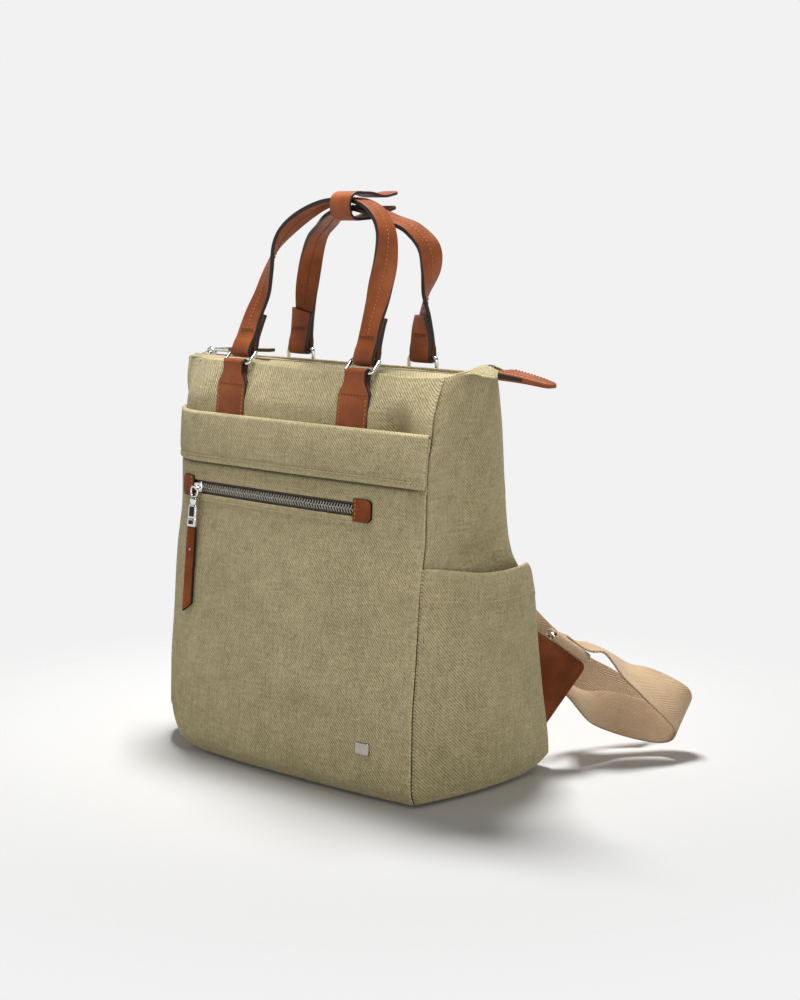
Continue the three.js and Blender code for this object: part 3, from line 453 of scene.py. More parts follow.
def tubePart(path, radius, sides=10, closed=True):
    path = np.asarray(path, float)
    n = len(path)
    ahead = np.roll(path, -1, 0) - np.roll(path, 1, 0) if closed else np.gradient(path, axis=0)
    heading = unit(ahead)
    ref = np.linalg.svd(path - path.mean(0))[2][2]
    side = unit(np.cross(heading, ref))
    up = np.cross(heading, side)
    angle = circle(sides)
    radius = np.broadcast_to(radius, n)
    spread = (side[:, None] * np.cos(angle)[None, :, None] + up[:, None] * np.sin(angle)[None, :, None])
    points = path[:, None] + spread * radius[:, None, None]
    faces = ringFaces(n, sides, closed)
    if not closed:
        faces.append(tuple(range(sides - 1, -1, -1)))
        faces.append(tuple(range((n - 1) * sides, n * sides)))
    points = points.reshape(-1, 3)
    return points, faces, points.copy(), {}


def ringPart(rings):
    rings = [np.asarray(r, float) for r in rings]
    count = len(rings[0])
    points = np.vstack(rings)
    faces = ringFaces(len(rings), count)
    last = (len(rings) - 1) * count
    faces.append(tuple(range(count - 1, -1, -1)))
    faces.append(tuple(range(last, last + count)))
    return points, faces, points.copy(), {}


def merged(parts):
    points, faces, weave, marks, base = [], [], [], {"wear": [], "rim": []}, 0
    for p, f, w, m in parts:
        points.append(p)
        weave.append(w)
        faces += [tuple(k + base for k in face) for face in f]
        for key in marks:
            marks[key].append(m.get(key, np.zeros(len(p))))
        base += len(p)
    return np.vstack(points), faces, np.vstack(weave), {k: np.concatenate(v) for k, v in marks.items()}


def placed(name, data):
    obj = bpy.data.objects.new(name, data)
    bpy.context.scene.collection.objects.link(obj)
    return obj


def addPiece(name, parts, finish, slot, replaces=(), body="bag", crease=None):
    points, faces, weave, marks = merged(parts)
    mesh = bpy.data.meshes.new(name)
    mesh.from_pydata((points * mm).tolist(), [], faces)
    work = bmesh.new()
    work.from_mesh(mesh)
    bmesh.ops.recalc_face_normals(work, faces=work.faces)
    work.to_mesh(mesh)
    work.free()
    mesh.polygons.foreach_set("use_smooth", [True] * len(mesh.polygons))
    cloth = mesh.attributes.new("weave", "FLOAT_VECTOR", "POINT")
    cloth.data.foreach_set("vector", (weave * mm).ravel())
    for key, values in marks.items():
        mark = mesh.attributes.new(key, "FLOAT", "POINT")
        mark.data.foreach_set("value", values.astype(np.float32))
    if crease:
        mesh.set_sharp_from_angle(angle=math.radians(crease))
    mesh.materials.append(finishes[finish])
    obj = placed(name, mesh)
    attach(obj, body)
    if replaces:
        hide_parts(*replaces)
    return obj


trimStitch = (2.4, 3.4)  # length and pitch on the small leather pieces
threadLook = {"length": 2.9, "pitch": 3.8, "half": 0.52, "lift": 0.14, "sides": 6,
              "bead": ((-0.5, 0.35, -0.9), (-0.3, 0.85, 0.0), (0.0, 1.0, 0.35), (0.3, 0.85, 0.0),
                       (0.5, 0.35, -0.9))}  # place along the stitch, fatness, height


def stitchParts(path, lift, length=None, pitch=None, half=None, skip=0.0):
    length = length or threadLook["length"]
    pitch = pitch or threadLook["pitch"]
    half = half or threadLook["half"]
    line = evenly(np.hstack([path, np.broadcast_to(lift, path.shape)]), step=0.8)
    gone = lengthAlong(line[:, :3])
    middles = np.arange(skip + pitch / 2, gone[-1] - skip, pitch)
    at = lambda d: np.array([np.interp(d, gone, line[:, k]) for k in range(6)])
    parts, sides = [], threadLook["sides"]
    for middle in middles:
        a, b, c = at(middle - length / 2), at(middle), at(middle + length / 2)
        along = unit(c[:3] - a[:3])
        up = unit(b[3:])
        across = np.cross(along, up)
        up = np.cross(across, along)
        rings = []
        for share, fat, height in threadLook["bead"]:
            centre = b[:3] + along * share * length + up * (threadLook["lift"] + height * half)
            rings.append([centre + (across * math.cos(k) + up * math.sin(k) * 0.8) * half * fat
                          for k in circle(sides)])
        parts.append(ringPart(rings))
    return parts


# the body's surfaces

shell = {
    "z": [0, 12, 68, 118, 150, 175, 190, 210, 252, 292, 316, 336],
    "front": [-75, -80, -79, -74.5, -72, -69.5, -67, -64, -62.5, -58, -50, -41],
    "back": [83, 89, 80, 70, 62.5, 51.5, 42, 36.5, 32, 29, 25.5, 22],
    "right": [8, 9, 8, 7, 6, 5, 4, 4, 5, 9, 14, 20],
    "left": [8, 9, 9, 8, 8, 8, 9, 10, 14, 22, 32, 38],
    "bow": [10, 10, 8, 6, 5, 4, 3, 3, 2, 2, 1, 0],
    "backBow": [5, 6, 8, 9, 9, 8, 7, 6, 5, 4, 2, 0],
    "wrap": [30, 32, 32, 32, 32, 32, 32, 32, 31, 29, 27, 26],
    "half": 161, "top": 336, "edge": 3, "leftInset": 6, "wrapFrom": 0.62, "wrapPower": 2.2,
    "lifts": [(-150, -60, 30, 75, 52), (161, 90, 12, 45, 45), (-161, 90, 12, 45, 45)],
    "canvas": 2.0, "pocketCloth": 1.6, "gap": 0.4,
}
bodyHalf, edgeLevel = shell["half"], float(shell["edge"])
slip = {"mouth": 292, "hem": 252, "hollow": 8, "tabX": 73, "tabRoom": 2.7, "dent": (122, 294, 9, 14),
        "seamBack": (5.0, 1.4)}  # seamBack: how far the panel's edge stands in, below and above the mouth


def profile(column, z):
    zs, vs = np.array(shell["z"], float), np.array(shell[column], float)
    slope = np.diff(vs) / np.diff(zs)
    both = slope[:-1] * slope[1:]
    inner = np.where(both > 0, 2 * both / np.where(both > 0, slope[:-1] + slope[1:], 1), 0)
    tangent = np.concatenate([[slope[0]], inner, [slope[-1]]])
    z = np.clip(z, zs[0], zs[-1])
    i = np.clip(np.searchsorted(zs, z) - 1, 0, len(slope) - 1)
    span = zs[i + 1] - zs[i]
    t = (z - zs[i]) / span
    h = t * t * (3 - 2 * t)
    bend = tangent[i] * t * (1 - t) ** 2 - tangent[i + 1] * t * t * (1 - t)
    return vs[i] * (1 - h) + vs[i + 1] * h + span * bend


def leftHalf(z):
    share = eased((z - slip["mouth"]) / (shell["top"] - slip["mouth"]))
    return bodyHalf - shell["leftInset"] * share


def widthAt(s, z):
    return np.where(s >= 0, s * bodyHalf, s * leftHalf(z))


def edgeLift(x, y):
    height = shell["edge"] + 0 * x
    for cx, cy, lift, reach, fade in shell["lifts"]:
        near = np.clip((reach - np.hypot(x - cx, y - cy)) / fade, 0, 1)
        height = height + lift * near ** 2
    return height


def frontY(s, z):
    turn = np.clip((-s - shell["wrapFrom"]) / (1 - shell["wrapFrom"]), 0, None) ** shell["wrapPower"]
    return profile("front", z) + profile("wrap", z) * turn - profile("bow", z) * (1 - s * s)


def backY(s, z):
    return profile("back", z) + profile("backBow", z) * (1 - s * s)


def recess(s, z):  # how far the front panel stands behind the pocket's face
    high = eased((z - 240) / 45)
    x = widthAt(s, z)
    behind = 1 - eased((z - slip["mouth"]) / 18)
    hollow = slip["hollow"] * (1 - s ** 4) * eased((z - 20) / 90) * (1 - high)
    gap = behind * (shell["pocketCloth"] + shell["gap"] + high * (1 - s ** 4) + hollow)
    below = 1 - eased((z - slip["mouth"]) / 38)
    tabs = slip["tabRoom"] * np.exp(-((np.abs(x) - slip["tabX"]) / 20) ** 2) * high * below
    cx, cz, depth, radius = slip["dent"]
    dent = depth * np.exp(-((x - cx) ** 2 + (z - cz) ** 2) / radius ** 2)
    return gap + tabs + dent


leftSeamLook = {"topX": -141, "spread": 15, "over": 40, "from": 296}


def leftSeam(s, z, reach):  # above the mouth the left gusset's seam comes round to the front
    down = np.clip((shell["top"] - z) / leftSeamLook["over"], 0, 1.2)
    line = leftSeamLook["topX"] - leftSeamLook["spread"] * down ** 0.7
    return np.exp(-((widthAt(s, z) - line) / reach) ** 2) * eased((z - leftSeamLook["from"]) / 8)


def frontSoft(s, z):  # slow folds of the front cloth, always inwards
    slow = 0.5 + 0.5 * np.clip(swell(s * bodyHalf, z, 5, 130) / 2, -1, 1)
    sag = 1.6 * np.exp(-((s - 0.1) / 0.5) ** 2) * np.exp(-((z - shell["top"]) / 10.0) ** 2)
    groove = 1.1 * leftSeam(s, z, 1.9)
    return (1.3 * slow + sag) * (1 - s ** 6) + groove


def pucker(distance, along, seed, deep=0.12, reach=7.0):
    return deep * np.exp(-(distance / reach) ** 2) * swell(along, 0 * along, seed, 11, 3)


def sideX(side, t, z):
    bulge = profile("right" if side > 0 else "left", z) * np.sin(math.pi * t)
    return widthAt(np.full_like(z, side), z) + side * bulge


def frontSeamY(side, z):
    s = np.full_like(z, float(side))
    return frontY(s, z) + recess(s, z) + shell["canvas"] + shell["gap"]


rowLook = {"level": 60.0, "lowCount": 16}  # below the level the rows follow the bag's lower edge


def rowsTo(top, step=3.0):
    low = np.linspace(0, 1, rowLook["lowCount"]) ** 1.25
    return np.concatenate([low, np.arange(rowLook["level"] + step, top, step), [top]])


def rowHeights(low, rows):
    low, rows = low[:, None], rows[None]
    return np.where(rows <= 1, low + (rowLook["level"] - low) * rows, rows)


def frontGrid(ss, rows, offset):
    low = edgeLift(widthAt(ss, edgeLevel), frontY(ss, edgeLevel))
    z = rowHeights(low, rows)
    s = np.broadcast_to(ss[:, None], z.shape)
    return spots(widthAt(s, z), frontY(s, z) + frontSoft(s, z) + offset(s, z), z)


def onFront(x, z, offset):
    s = np.asarray(x, float) / bodyHalf
    z = np.asarray(z, float)
    return spots(x, frontY(s, z) + frontSoft(s, z) + offset, z)


frontColumns = np.unique(np.concatenate([np.linspace(-1, -0.8, 34), np.linspace(-0.8, 1, 92)]))


def seamWear(grid, reach=5.0):
    u, v = lengthAcross(grid, 0), lengthAcross(grid, 1)
    du, dv = np.minimum(u, u[-1] - u), np.minimum(v, v[-1] - v)
    return np.maximum(np.exp(-du / reach)[:, None], np.exp(-dv / reach)[None, :])


def gussetWearAndShade(grid, dark, reach=5.0):  # worn at its seams, with painted shade in the groove of the front seam
    wear = seamWear(grid, reach)
    # painted shade down the front seam's groove, a little weaker near the top
    wear[0] = -dark * (1 - 0.35 * eased((grid[0, :, 2] - 285) / 20))
    wear[1] = 0.1
    return wear


sagLook = {"dips": ((3.0, 8, 40), (2.0, 116, 26)), "from": 298}  # depth, middle and reach of each dip


def topSag(x):  # the top edge hangs between and beside the handles
    return sum(deep * np.exp(-((x - at) / reach) ** 2) for deep, at, reach in sagLook["dips"])


def hung(grid):
    drop = topSag(grid[..., 0]) * eased((grid[..., 2] - sagLook["from"]) / (shell["top"] - sagLook["from"]))
    return grid - drop[..., None] * np.array([0, 0, 1])


def makeFront():
    rows = rowsTo(shell["top"])

    def tuck(s, z):
        return pucker((1 - np.abs(s)) * bodyHalf, z, 21) + pucker(shell["top"] - z, s * bodyHalf, 22, 0.3)

    def layer(deep):  # the edges stand in, so that the seam shows as a thin groove
        grid = hung(frontGrid(frontColumns, rows, lambda s, z: recess(s, z) + tuck(s, z) + deep))
        back = between(*slip["seamBack"], eased((grid[..., 2] - slip["mouth"] + 12) / 12))
        grid[..., 0] -= back * np.sign(frontColumns)[:, None] * np.abs(frontColumns)[:, None] ** 24
        return grid

    outer, inner = layer(0.0), layer(shell["canvas"])
    s = np.broadcast_to(frontColumns[:, None], outer.shape[:2])
    # below 0 along the left seam above the mouth: a painted shade line in the seam's groove
    wear = seamWear(outer) - 0.9 * leftSeam(s, outer[..., 2], 1.3)
    addPiece("frontPanel", [sheetPart(outer, inner, wear=wear)], "canvas", "canvas", ["front_panel"])


makeFront()


# shade is the strength of the painted shadow line under the band's hem
bandLook = {"cloth": 2.2, "stitchUp": 4.2, "press": 0.8, "under": 1.6, "shade": 0.75,
            "rowsBelow": (3.5, 1.8, 0.5)}
zipLook = {"left": -111, "right": 88, "z": 228.5, "half": 6.5, "fold": 4.5, "stitch": 4.2}


def makePocket():
    sides = [zipLook["left"] / bodyHalf, zipLook["right"] / bodyHalf]
    ss = np.unique(np.round(np.concatenate([frontColumns, sides]), 6))
    lowZ, highZ = zipLook["z"] - zipLook["half"], zipLook["z"] + zipLook["half"]
    hemRows = [slip["hem"] - down for down in bandLook["rowsBelow"]]
    rows = np.unique(np.concatenate([rowsTo(slip["mouth"] - 2), [lowZ, highZ, lowZ - 2, highZ + 2], hemRows]))

    def lipped(s, z):  # the cloth is folded double round the zip
        x = s * bodyHalf
        dx = np.maximum(np.maximum(zipLook["left"] - x, x - zipLook["right"]), 0)
        dz = np.maximum(np.abs(z - zipLook["z"]) - zipLook["half"], 0)
        away = np.hypot(dx, dz)
        return -0.7 * (1 - eased((away - 2.5) / 4)) + 0.5 * np.exp(-((away - 7.5) / 2.2) ** 2)

    def bend(s, z):  # lip of the zip, puckers at the sides, groove under the band
        groove = bandLook["under"] * np.exp(-((z - slip["hem"] + 1.2) / 2.0) ** 2)
        return lipped(s, z) + pucker((1 - np.abs(s)) * bodyHalf, z, 31) + groove

    outer = frontGrid(ss, rows, bend)
    inner = frontGrid(ss, rows, lambda s, z: bend(s, z) + shell["pocketCloth"])
    middle = (ss[1:] + ss[:-1]) / 2 * bodyHalf
    level = (rows[1:] + rows[:-1]) / 2
    inColumn = (middle > zipLook["left"]) & (middle < zipLook["right"])
    inRow = (level > lowZ) & (level < highZ)
    closed = ~(inColumn[:, None] & inRow[None])
    # a painted shadow line just below the band's hem, taken off the mark
    shade = bandLook["shade"] * np.exp(-((outer[..., 2] - slip["hem"] + 2.2) / 1.5) ** 2)
    part = sheetPart(outer, inner, closed, seamWear(outer) - shade)
    addPiece("frontPocket", [part], "canvas", "canvas", ["front_pocket"])


makePocket()


def makeBand():
    faceRows, foldRows, inside = 24, 5, slip["mouth"] - np.array([4, 8, 12])
    face = np.linspace(slip["hem"], slip["mouth"] - 1.2, faceRows)
    up = np.concatenate([face, np.full(foldRows, slip["mouth"]), inside])
    turn = np.concatenate([np.zeros(faceRows), np.linspace(0, 1, foldRows), np.ones(3)])
    high = np.concatenate([np.zeros(faceRows), np.sin(np.linspace(0, math.pi, foldRows)), np.zeros(3)])
    s = np.broadcast_to(frontColumns[:, None], (len(frontColumns), len(up)))
    z = np.broadcast_to(up[None], s.shape)
    swing = 0.5 * eased((z - 270) / 22) * swell(s * bodyHalf, 0 * z, 41, 70, 4)
    share = np.clip((z - slip["hem"]) / (slip["mouth"] - slip["hem"]), 0, 1)
    bulge = -0.9 * np.sin(math.pi * share) * (1 - s ** 4)
    press = bandLook["press"] * np.exp(-((z - slip["hem"] - bandLook["stitchUp"]) / 1.7) ** 2)
    wave = pucker(z - slip["hem"], s * bodyHalf, 42, 0.3, 6)

    def layer(extra):
        y = frontY(s, z) + frontSoft(s, z) + swing + (bulge + press + wave) * (1 - turn[None])
        y = y + between(-shell["gap"] - extra[0], shell["pocketCloth"] + shell["gap"] + extra[1], turn[None])
        lift = high[None] * (0.6 + extra[0] / bandLook["cloth"])
        return spots(widthAt(s, z), y, z + lift)

    outer, inner = layer((bandLook["cloth"], 0.8)), layer((0.0, 0.0))
    wear = np.maximum(np.exp(-np.abs(z - slip["mouth"]) / 2.5), np.exp(-np.abs(z - slip["hem"]) / 2.0))
    wear = np.maximum(wear, np.exp(-(1 - np.abs(s)) * bodyHalf / 5))
    part = sheetPart(outer, inner, wear=wear)
    addPiece("frontPocketBand", [part], "canvas", "canvas", ["front_pocket_band"])


makeBand()


def makeTopstitch():
    reach = zipLook["half"] + zipLook["stitch"]
    zipSpan = (zipLook["left"] + 2, zipLook["right"] - 2, 160)
    rows = [((-140, 158, 220), slip["hem"] + bandLook["stitchUp"], -shell["gap"] - bandLook["cloth"] - 0.1),
            (zipSpan, zipLook["z"] - reach, -0.45), (zipSpan, zipLook["z"] + reach, -0.45)]
    parts = []
    for span, level, offset in rows:
        x = np.linspace(*span)
        parts += stitchParts(onFront(x, np.full_like(x, level), offset), (0, -1, 0))
    addPiece("frontTopstitch", parts, "canvasThread", "canvas")


makeTopstitch()


topLook = {"zipY": -9, "skew": 11, "left": -172, "right": 172, "start": -178, "end": 198, "slot": 4,
           "rise": 9, "fall": 4, "beakFrom": 150, "beakPeak": 178, "beakHalf": 15.5, "beakRound": 6,
           "leftHalf": {"front": 9, "back": 15}, "cloth": 1.6}


def zipLineY(x):
    return topLook["zipY"] + topLook["skew"] * (np.minimum(0, x) / topLook["left"]) ** 2


def topZ(x):
    rise = topLook["rise"] * eased((x - topLook["beakFrom"]) / (topLook["beakPeak"] - topLook["beakFrom"]))
    fall = topLook["fall"] * eased((x - topLook["beakPeak"]) / (topLook["end"] - topLook["beakPeak"]))
    return shell["top"] - 1 + (rise - fall)


sideLook = {"pocketTop": 182, "gape": 13, "lean": 1.8, "flare": 16, "hem": 26, "frontUp": 6.5,
            "cornerDown": 9, "columns": 60}


def gussetGrid(side, ts, rows, offset, across, soft, raised):
    lowY = between(frontY(np.float64(side), edgeLevel), backY(np.float64(side), edgeLevel), ts)
    low = edgeLift(np.full_like(ts, side * float(bodyHalf)), lowY)
    z = rowHeights(low, rows)
    t = np.broadcast_to(ts[:, None], z.shape)
    up = z / sideLook["pocketTop"]
    tuck = 0.8 * np.exp(-(t * 50) ** 2)
    x = sideX(side, t, z) + side * (offset(t, up) + soft(t, z) - tuck)
    return spots(x, across(t, z, up), z + raised(t, z))


def gussetSoft(side):
    def soft(t, z):
        valley = -3.2 * np.exp(-((t - 0.30) / 0.20) ** 2 - ((z - 248) / 40) ** 2)
        ridge = 3.4 * np.exp(-((t - 0.80) / 0.20) ** 2 - ((z - 278) / 34) ** 2)
        slope = z - 36 * (t - 0.6)
        crease = -3.0 * np.exp(-((slope - 204) / 10) ** 2) * eased((t - 0.15) / 0.45)
        fold = 2.4 * np.exp(-((slope - 227) / 12) ** 2) * eased((t - 0.25) / 0.45)
        gather = 0.9 * np.sin(t * 26 + 0.6) * eased((z - 300) / 22) * eased((shell["top"] - z) / 14)
        slow = 1.2 * swell(z, t * 130, 60 + side, 95, 5)
        return (2.1 * (valley + ridge + crease + fold) + gather + slow) * np.sin(math.pi * t) ** 0.5
    return soft


def pocketDepth(cloth):  # how far a side pocket stands off the gusset, with its hem folded double
    hemFrom = 1 - sideLook["hem"] / sideLook["pocketTop"]

    def depth(t, up):
        gape = sideLook["gape"] * np.sin(math.pi * t ** sideLook["lean"]) * np.clip(up, 0, 1.1) ** 1.2
        hem = 0.8 * eased((up - hemFrom) * sideLook["pocketTop"] / 3)
        return gape + 0.8 + cloth + hem * (cloth > 0)
    return depth


def makeSides():
    ts = np.linspace(0, 1, sideLook["columns"])
    topRow = shell["top"] - 3
    rows, pocketRows = rowsTo(topRow), rowsTo(sideLook["pocketTop"])
    hemParts = []
    for name, side in (("Left", -1), ("Right", 1)):
        soft = gussetSoft(side)
        backEdge = lambda z: backY(np.full_like(z, float(side)), z)

        def seam(t, z, up):
            start = frontSeamY(side, z) - 0.9 + 1.7 * eased((z - 274) / 12)
            return between(start, backEdge(z) - 0.3, t)

        def toFacing(t, z):  # the top edge comes up under the facing and the beak
            top = topZ(sideX(side, t, np.full_like(z, float(topRow)))) - 2.0 - topRow
            return top * eased((z - 285) / (topRow - 285))

        outer = gussetGrid(side, ts, rows, lambda t, up: 0.0, seam, soft, toFacing)
        inner = gussetGrid(side, ts, rows, lambda t, up: -shell["canvas"], seam, soft, toFacing)
        part = sheetPart(outer, inner, wear=gussetWearAndShade(outer, 0.75))
        addPiece("gusset" + name, [part], "canvas", "canvas", ["gusset_" + name.lower()])

        def pocketSeam(t, z, up):
            return between(frontSeamY(side, z) - 1.3, backEdge(z) + sideLook["flare"] * up ** 4, t)

        def pocketSoft(t, z):
            slow = 0.9 * swell(z, t * 150, 70 + side, 120, 5) * np.sin(math.pi * t)
            lip = 1.2 * swell(t * 150, 0 * z, 72 + side, 70, 3) * eased((z - 150) / 32) * np.sin(math.pi * t)
            return np.maximum(slow, -0.5) + np.maximum(lip, -0.6) + pucker(t * 150, z, 73 + side, 0.2)

        def mouthLine(t, z):  # the mouth is higher at the front seam and hangs in the middle
            corner = -sideLook["cornerDown"] * np.clip((t - 0.84) / 0.16, 0, 1) ** 2
            curve = sideLook["frontUp"] * (1 - eased(t / 0.5)) - 2 * np.sin(math.pi * t) + corner
            return curve * eased((z - 110) / (sideLook["pocketTop"] - 110))

        depths = pocketDepth(shell["pocketCloth"]), pocketDepth(0.0)
        outer, inner = (gussetGrid(side, ts, pocketRows, depth, pocketSeam, pocketSoft, mouthLine)
                        for depth in depths)
        part = sheetPart(outer, inner, wear=gussetWearAndShade(outer, 0.3, 4.0))
        addPiece("sidePocket" + name, [part], "canvas", "canvas", ["side_pocket_" + name.lower()])
        row = int(np.argmin(np.abs(pocketRows - (sideLook["pocketTop"] - sideLook["hem"] + 2))))
        line = outer[2:-2, row] + [side * 0.05, 0, 0]
        hemParts += stitchParts(line, (side, 0, 0))
    addPiece("sidePocketStitch", hemParts, "canvasThread", "canvas")


makeSides()


def makeBack():
    ss = np.linspace(-1, 1, 72)
    rows = rowsTo(shell["top"], step=4.5)
    low = edgeLift(widthAt(ss, edgeLevel), backY(ss, edgeLevel))
    z = rowHeights(low, rows)
    s = np.broadcast_to(ss[:, None], z.shape)
    soft = -0.9 * (0.5 + 0.5 * np.clip(swell(s * bodyHalf, z, 81, 120) / 2, -1, 1)) * (1 - s ** 6)
    soft = soft + pucker((1 - np.abs(s)) * bodyHalf, z, 82)
    layer = lambda d: spots(widthAt(s * 0.986, z), backY(s, z) + soft + d, z)
    outer = layer(0.0)
    part = sheetPart(outer, layer(-shell["canvas"]), wear=seamWear(outer))
    addPiece("backPanel", [part], "canvas", "canvas", ["back_panel"])


makeBack()


baseLook = {"inset": 1.6, "bulge": 7.4, "tuck": 0.4}


def makeBase():
    us, ws = np.linspace(-1, 1, 66), np.linspace(-1, 1, 40)
    u, w = np.meshgrid(us, ws, indexing="ij")
    s = u * (bodyHalf - baseLook["inset"]) / bodyHalf
    level = np.full_like(s, edgeLevel)
    bulge = baseLook["bulge"] * np.sign(u) * np.abs(u) ** 10 * np.sin(math.pi * (w + 1) / 2)
    x = widthAt(s, level) + bulge
    rim = edgeLift(x, frontY(s, level)) + 1
    near = frontY(s, rim) + recess(s, rim) + shell["canvas"] + baseLook["tuck"]
    far = backY(s, level) - shell["canvas"] - 0.8
    y = between(near, far, (w + 1) / 2)
    edge = eased((np.maximum(np.abs(u), np.abs(w)) - 0.8) / 0.2)
    z = edge * (edgeLift(x, y) + 1)
    outer = spots(x, y, z)
    part = sheetPart(outer, outer + [0, 0, shell["canvas"]], wear=seamWear(outer))
    addPiece("basePanel", [part], "canvas", "canvas", ["base_panel"])


makeBase()
print("canvas body made")


# zips

teethLook = {"pitch": 3.1, "length": 4.9, "wide": 1.3, "tall": 2.2, "overlap": 1.0, "slant": 0.55}


def toothPart(centre, along, across, up):
    long, wide, tall = (teethLook[key] for key in ("length", "wide", "tall"))
    rings = []
    for share, fat in ((-0.5, 0.7), (-0.38, 1.0), (0.3, 1.0), (0.5, 0.62)):
        ring = []
        for a, b in ((-1, -1), (1, -1), (1, 0.45), (0.6, 1), (-0.6, 1), (-1, 0.45)):
            ring.append(centre + across * share * long + along * a * wide * fat / 2 + up * b * tall * fat / 2)
        rings.append(ring)
    return ringPart(rings)


def teethRow(path, across, up):
    across, up = unit(across), unit(up)
    along = np.cross(across, up)
    parts = []
    for i, place in enumerate(evenly(path, step=teethLook["pitch"] / 2)[1:-1]):
        side = 1 if i % 2 else -1
        tilt = unit(across + along * teethLook["slant"] * side)
        middle = place + across * side * (teethLook["length"] / 2 - teethLook["overlap"])
        parts.append(toothPart(middle, np.cross(tilt, up), tilt * -side, up))
    return parts


def makeFrontZip():
    xs = np.linspace(zipLook["left"] - 3, zipLook["right"] + 3, 70)
    zs = np.linspace(-12, 12, 12) + zipLook["z"]
    x, z = np.meshgrid(xs, zs, indexing="ij")
    outer, inner = onFront(x, z, 2.0), onFront(x, z, 2.8)
    addPiece("frontZipTape", [sheetPart(outer, inner)], "tape", "zip_tape", ["front_zip_tape"])
    xs = np.linspace(zipLook["left"] + 1, zipLook["right"] - 1, 160)
    path = onFront(xs, np.full_like(xs, zipLook["z"]), 0.9)
    parts = teethRow(path, (0, 0, 1), (0, -1, 0))
    addPiece("frontZipChain", parts, "teeth", "metal", ["front_zip_chain"], crease=35)


makeFrontZip()


def platePart(x, z, wide, tall, thick, corner, base, leftCorner=None, edge=0.7):
    leftCorner = corner if leftCorner is None else leftCorner
    corners = [(1, 1, corner), (-1, 1, leftCorner), (-1, -1, leftCorner), (1, -1, corner)]
    outline = []
    for k, (a, b, r) in enumerate(corners):
        for angle in np.linspace(k * math.pi / 2, (k + 1) * math.pi / 2, 6):
            outline.append((a * (wide / 2 - r) + r * math.cos(angle),
                            b * (tall / 2 - r) + r * math.sin(angle)))
    outline = np.array(outline)
    rings, marks = [], []
    steps = [(1.0, 0.0, 1.0), (1.0, 0.7, 1.0), (1 - 0.5 * edge / tall, 0.94, 1.0),
             (1 - 1.6 * edge / tall, 1.0, 0.0), (0.6, 1.0, 0.0), (0.25, 1.0, 0.0), (0.02, 1.0, 0.0)]
    for share, height, mark in steps:
        flat = outline * share
        ring = onFront(x + flat[:, 0], z + flat[:, 1], base - thick * height)
        rings.append(ring)
        marks += [mark] * len(ring)
    points, faces, _, _ = ringPart(rings)
    weave = spots(points[:, 0], points[:, 2], 0.0)
    return points, faces, weave, {"rim": np.array(marks)}


endLook = {"length": 20, "height": 18.6, "thick": 1.8, "overlap": 2, "stitchHalf": 7.8, "stitchIn": 3,
           "base": -0.5, "outerCorner": 5, "innerCorner": 1.2}
plateLook = {"x": 114, "z": 41, "wide": 14, "tall": 10, "thick": 1.4, "corner": 1.6, "base": -0.2}


def makeZipEnds():
    half, over = endLook["length"] / 2, endLook["overlap"]
    right = zipLook["right"] - over + half
    left = zipLook["left"] + over - half
    size = (endLook["length"], endLook["height"], endLook["thick"])
    outerCorner, innerCorner = endLook["outerCorner"], endLook["innerCorner"]
    for name, x, corner, leftCorner in (("Right", right, outerCorner, innerCorner),
                                        ("Left", left, innerCorner, outerCorner)):
        part = platePart(x, zipLook["z"], *size, corner, endLook["base"], leftCorner)
        addPiece("frontZipEnd" + name, [part], "trimLeather", "leather", ["front_zip_end_" + name.lower()])
    parts = []
    z = np.linspace(zipLook["z"] - endLook["stitchHalf"], zipLook["z"] + endLook["stitchHalf"], 12)
    for x in (right - half + endLook["stitchIn"], left + half - endLook["stitchIn"]):
        line = onFront(np.full_like(z, x), z, endLook["base"] - endLook["thick"])
        parts += stitchParts(line, (0, -1, 0), *trimStitch)
    addPiece("frontZipEndStitch", parts, "lightThread", "leather")
    addPiece("frontPlate", [platePart(**plateLook)], "teeth", "metal", ["front_plate"])


makeZipEnds()
print("front zip made")


# top of the bag

def facingEdge(x, end):
    s = np.clip(x / bodyHalf, -1, 1)
    z = np.full_like(x, shell["top"] - 1.0)
    wall = (frontY(s, z) + recess(s, z) + 3.4) if end == "front" else (backY(s, z) - 3.4)
    sign = -1 if end == "front" else 1
    beak = topLook["beakHalf"] - topLook["beakRound"] * np.clip((x - 184) / 14, 0, 1) ** 2
    tight = zipLineY(x) + sign * np.where(x > 0, beak, topLook["leftHalf"][end])
    share = np.where(x > 0, eased((x - 140) / 50), eased((-x - 140) / 36))
    return between(wall, tight, share)


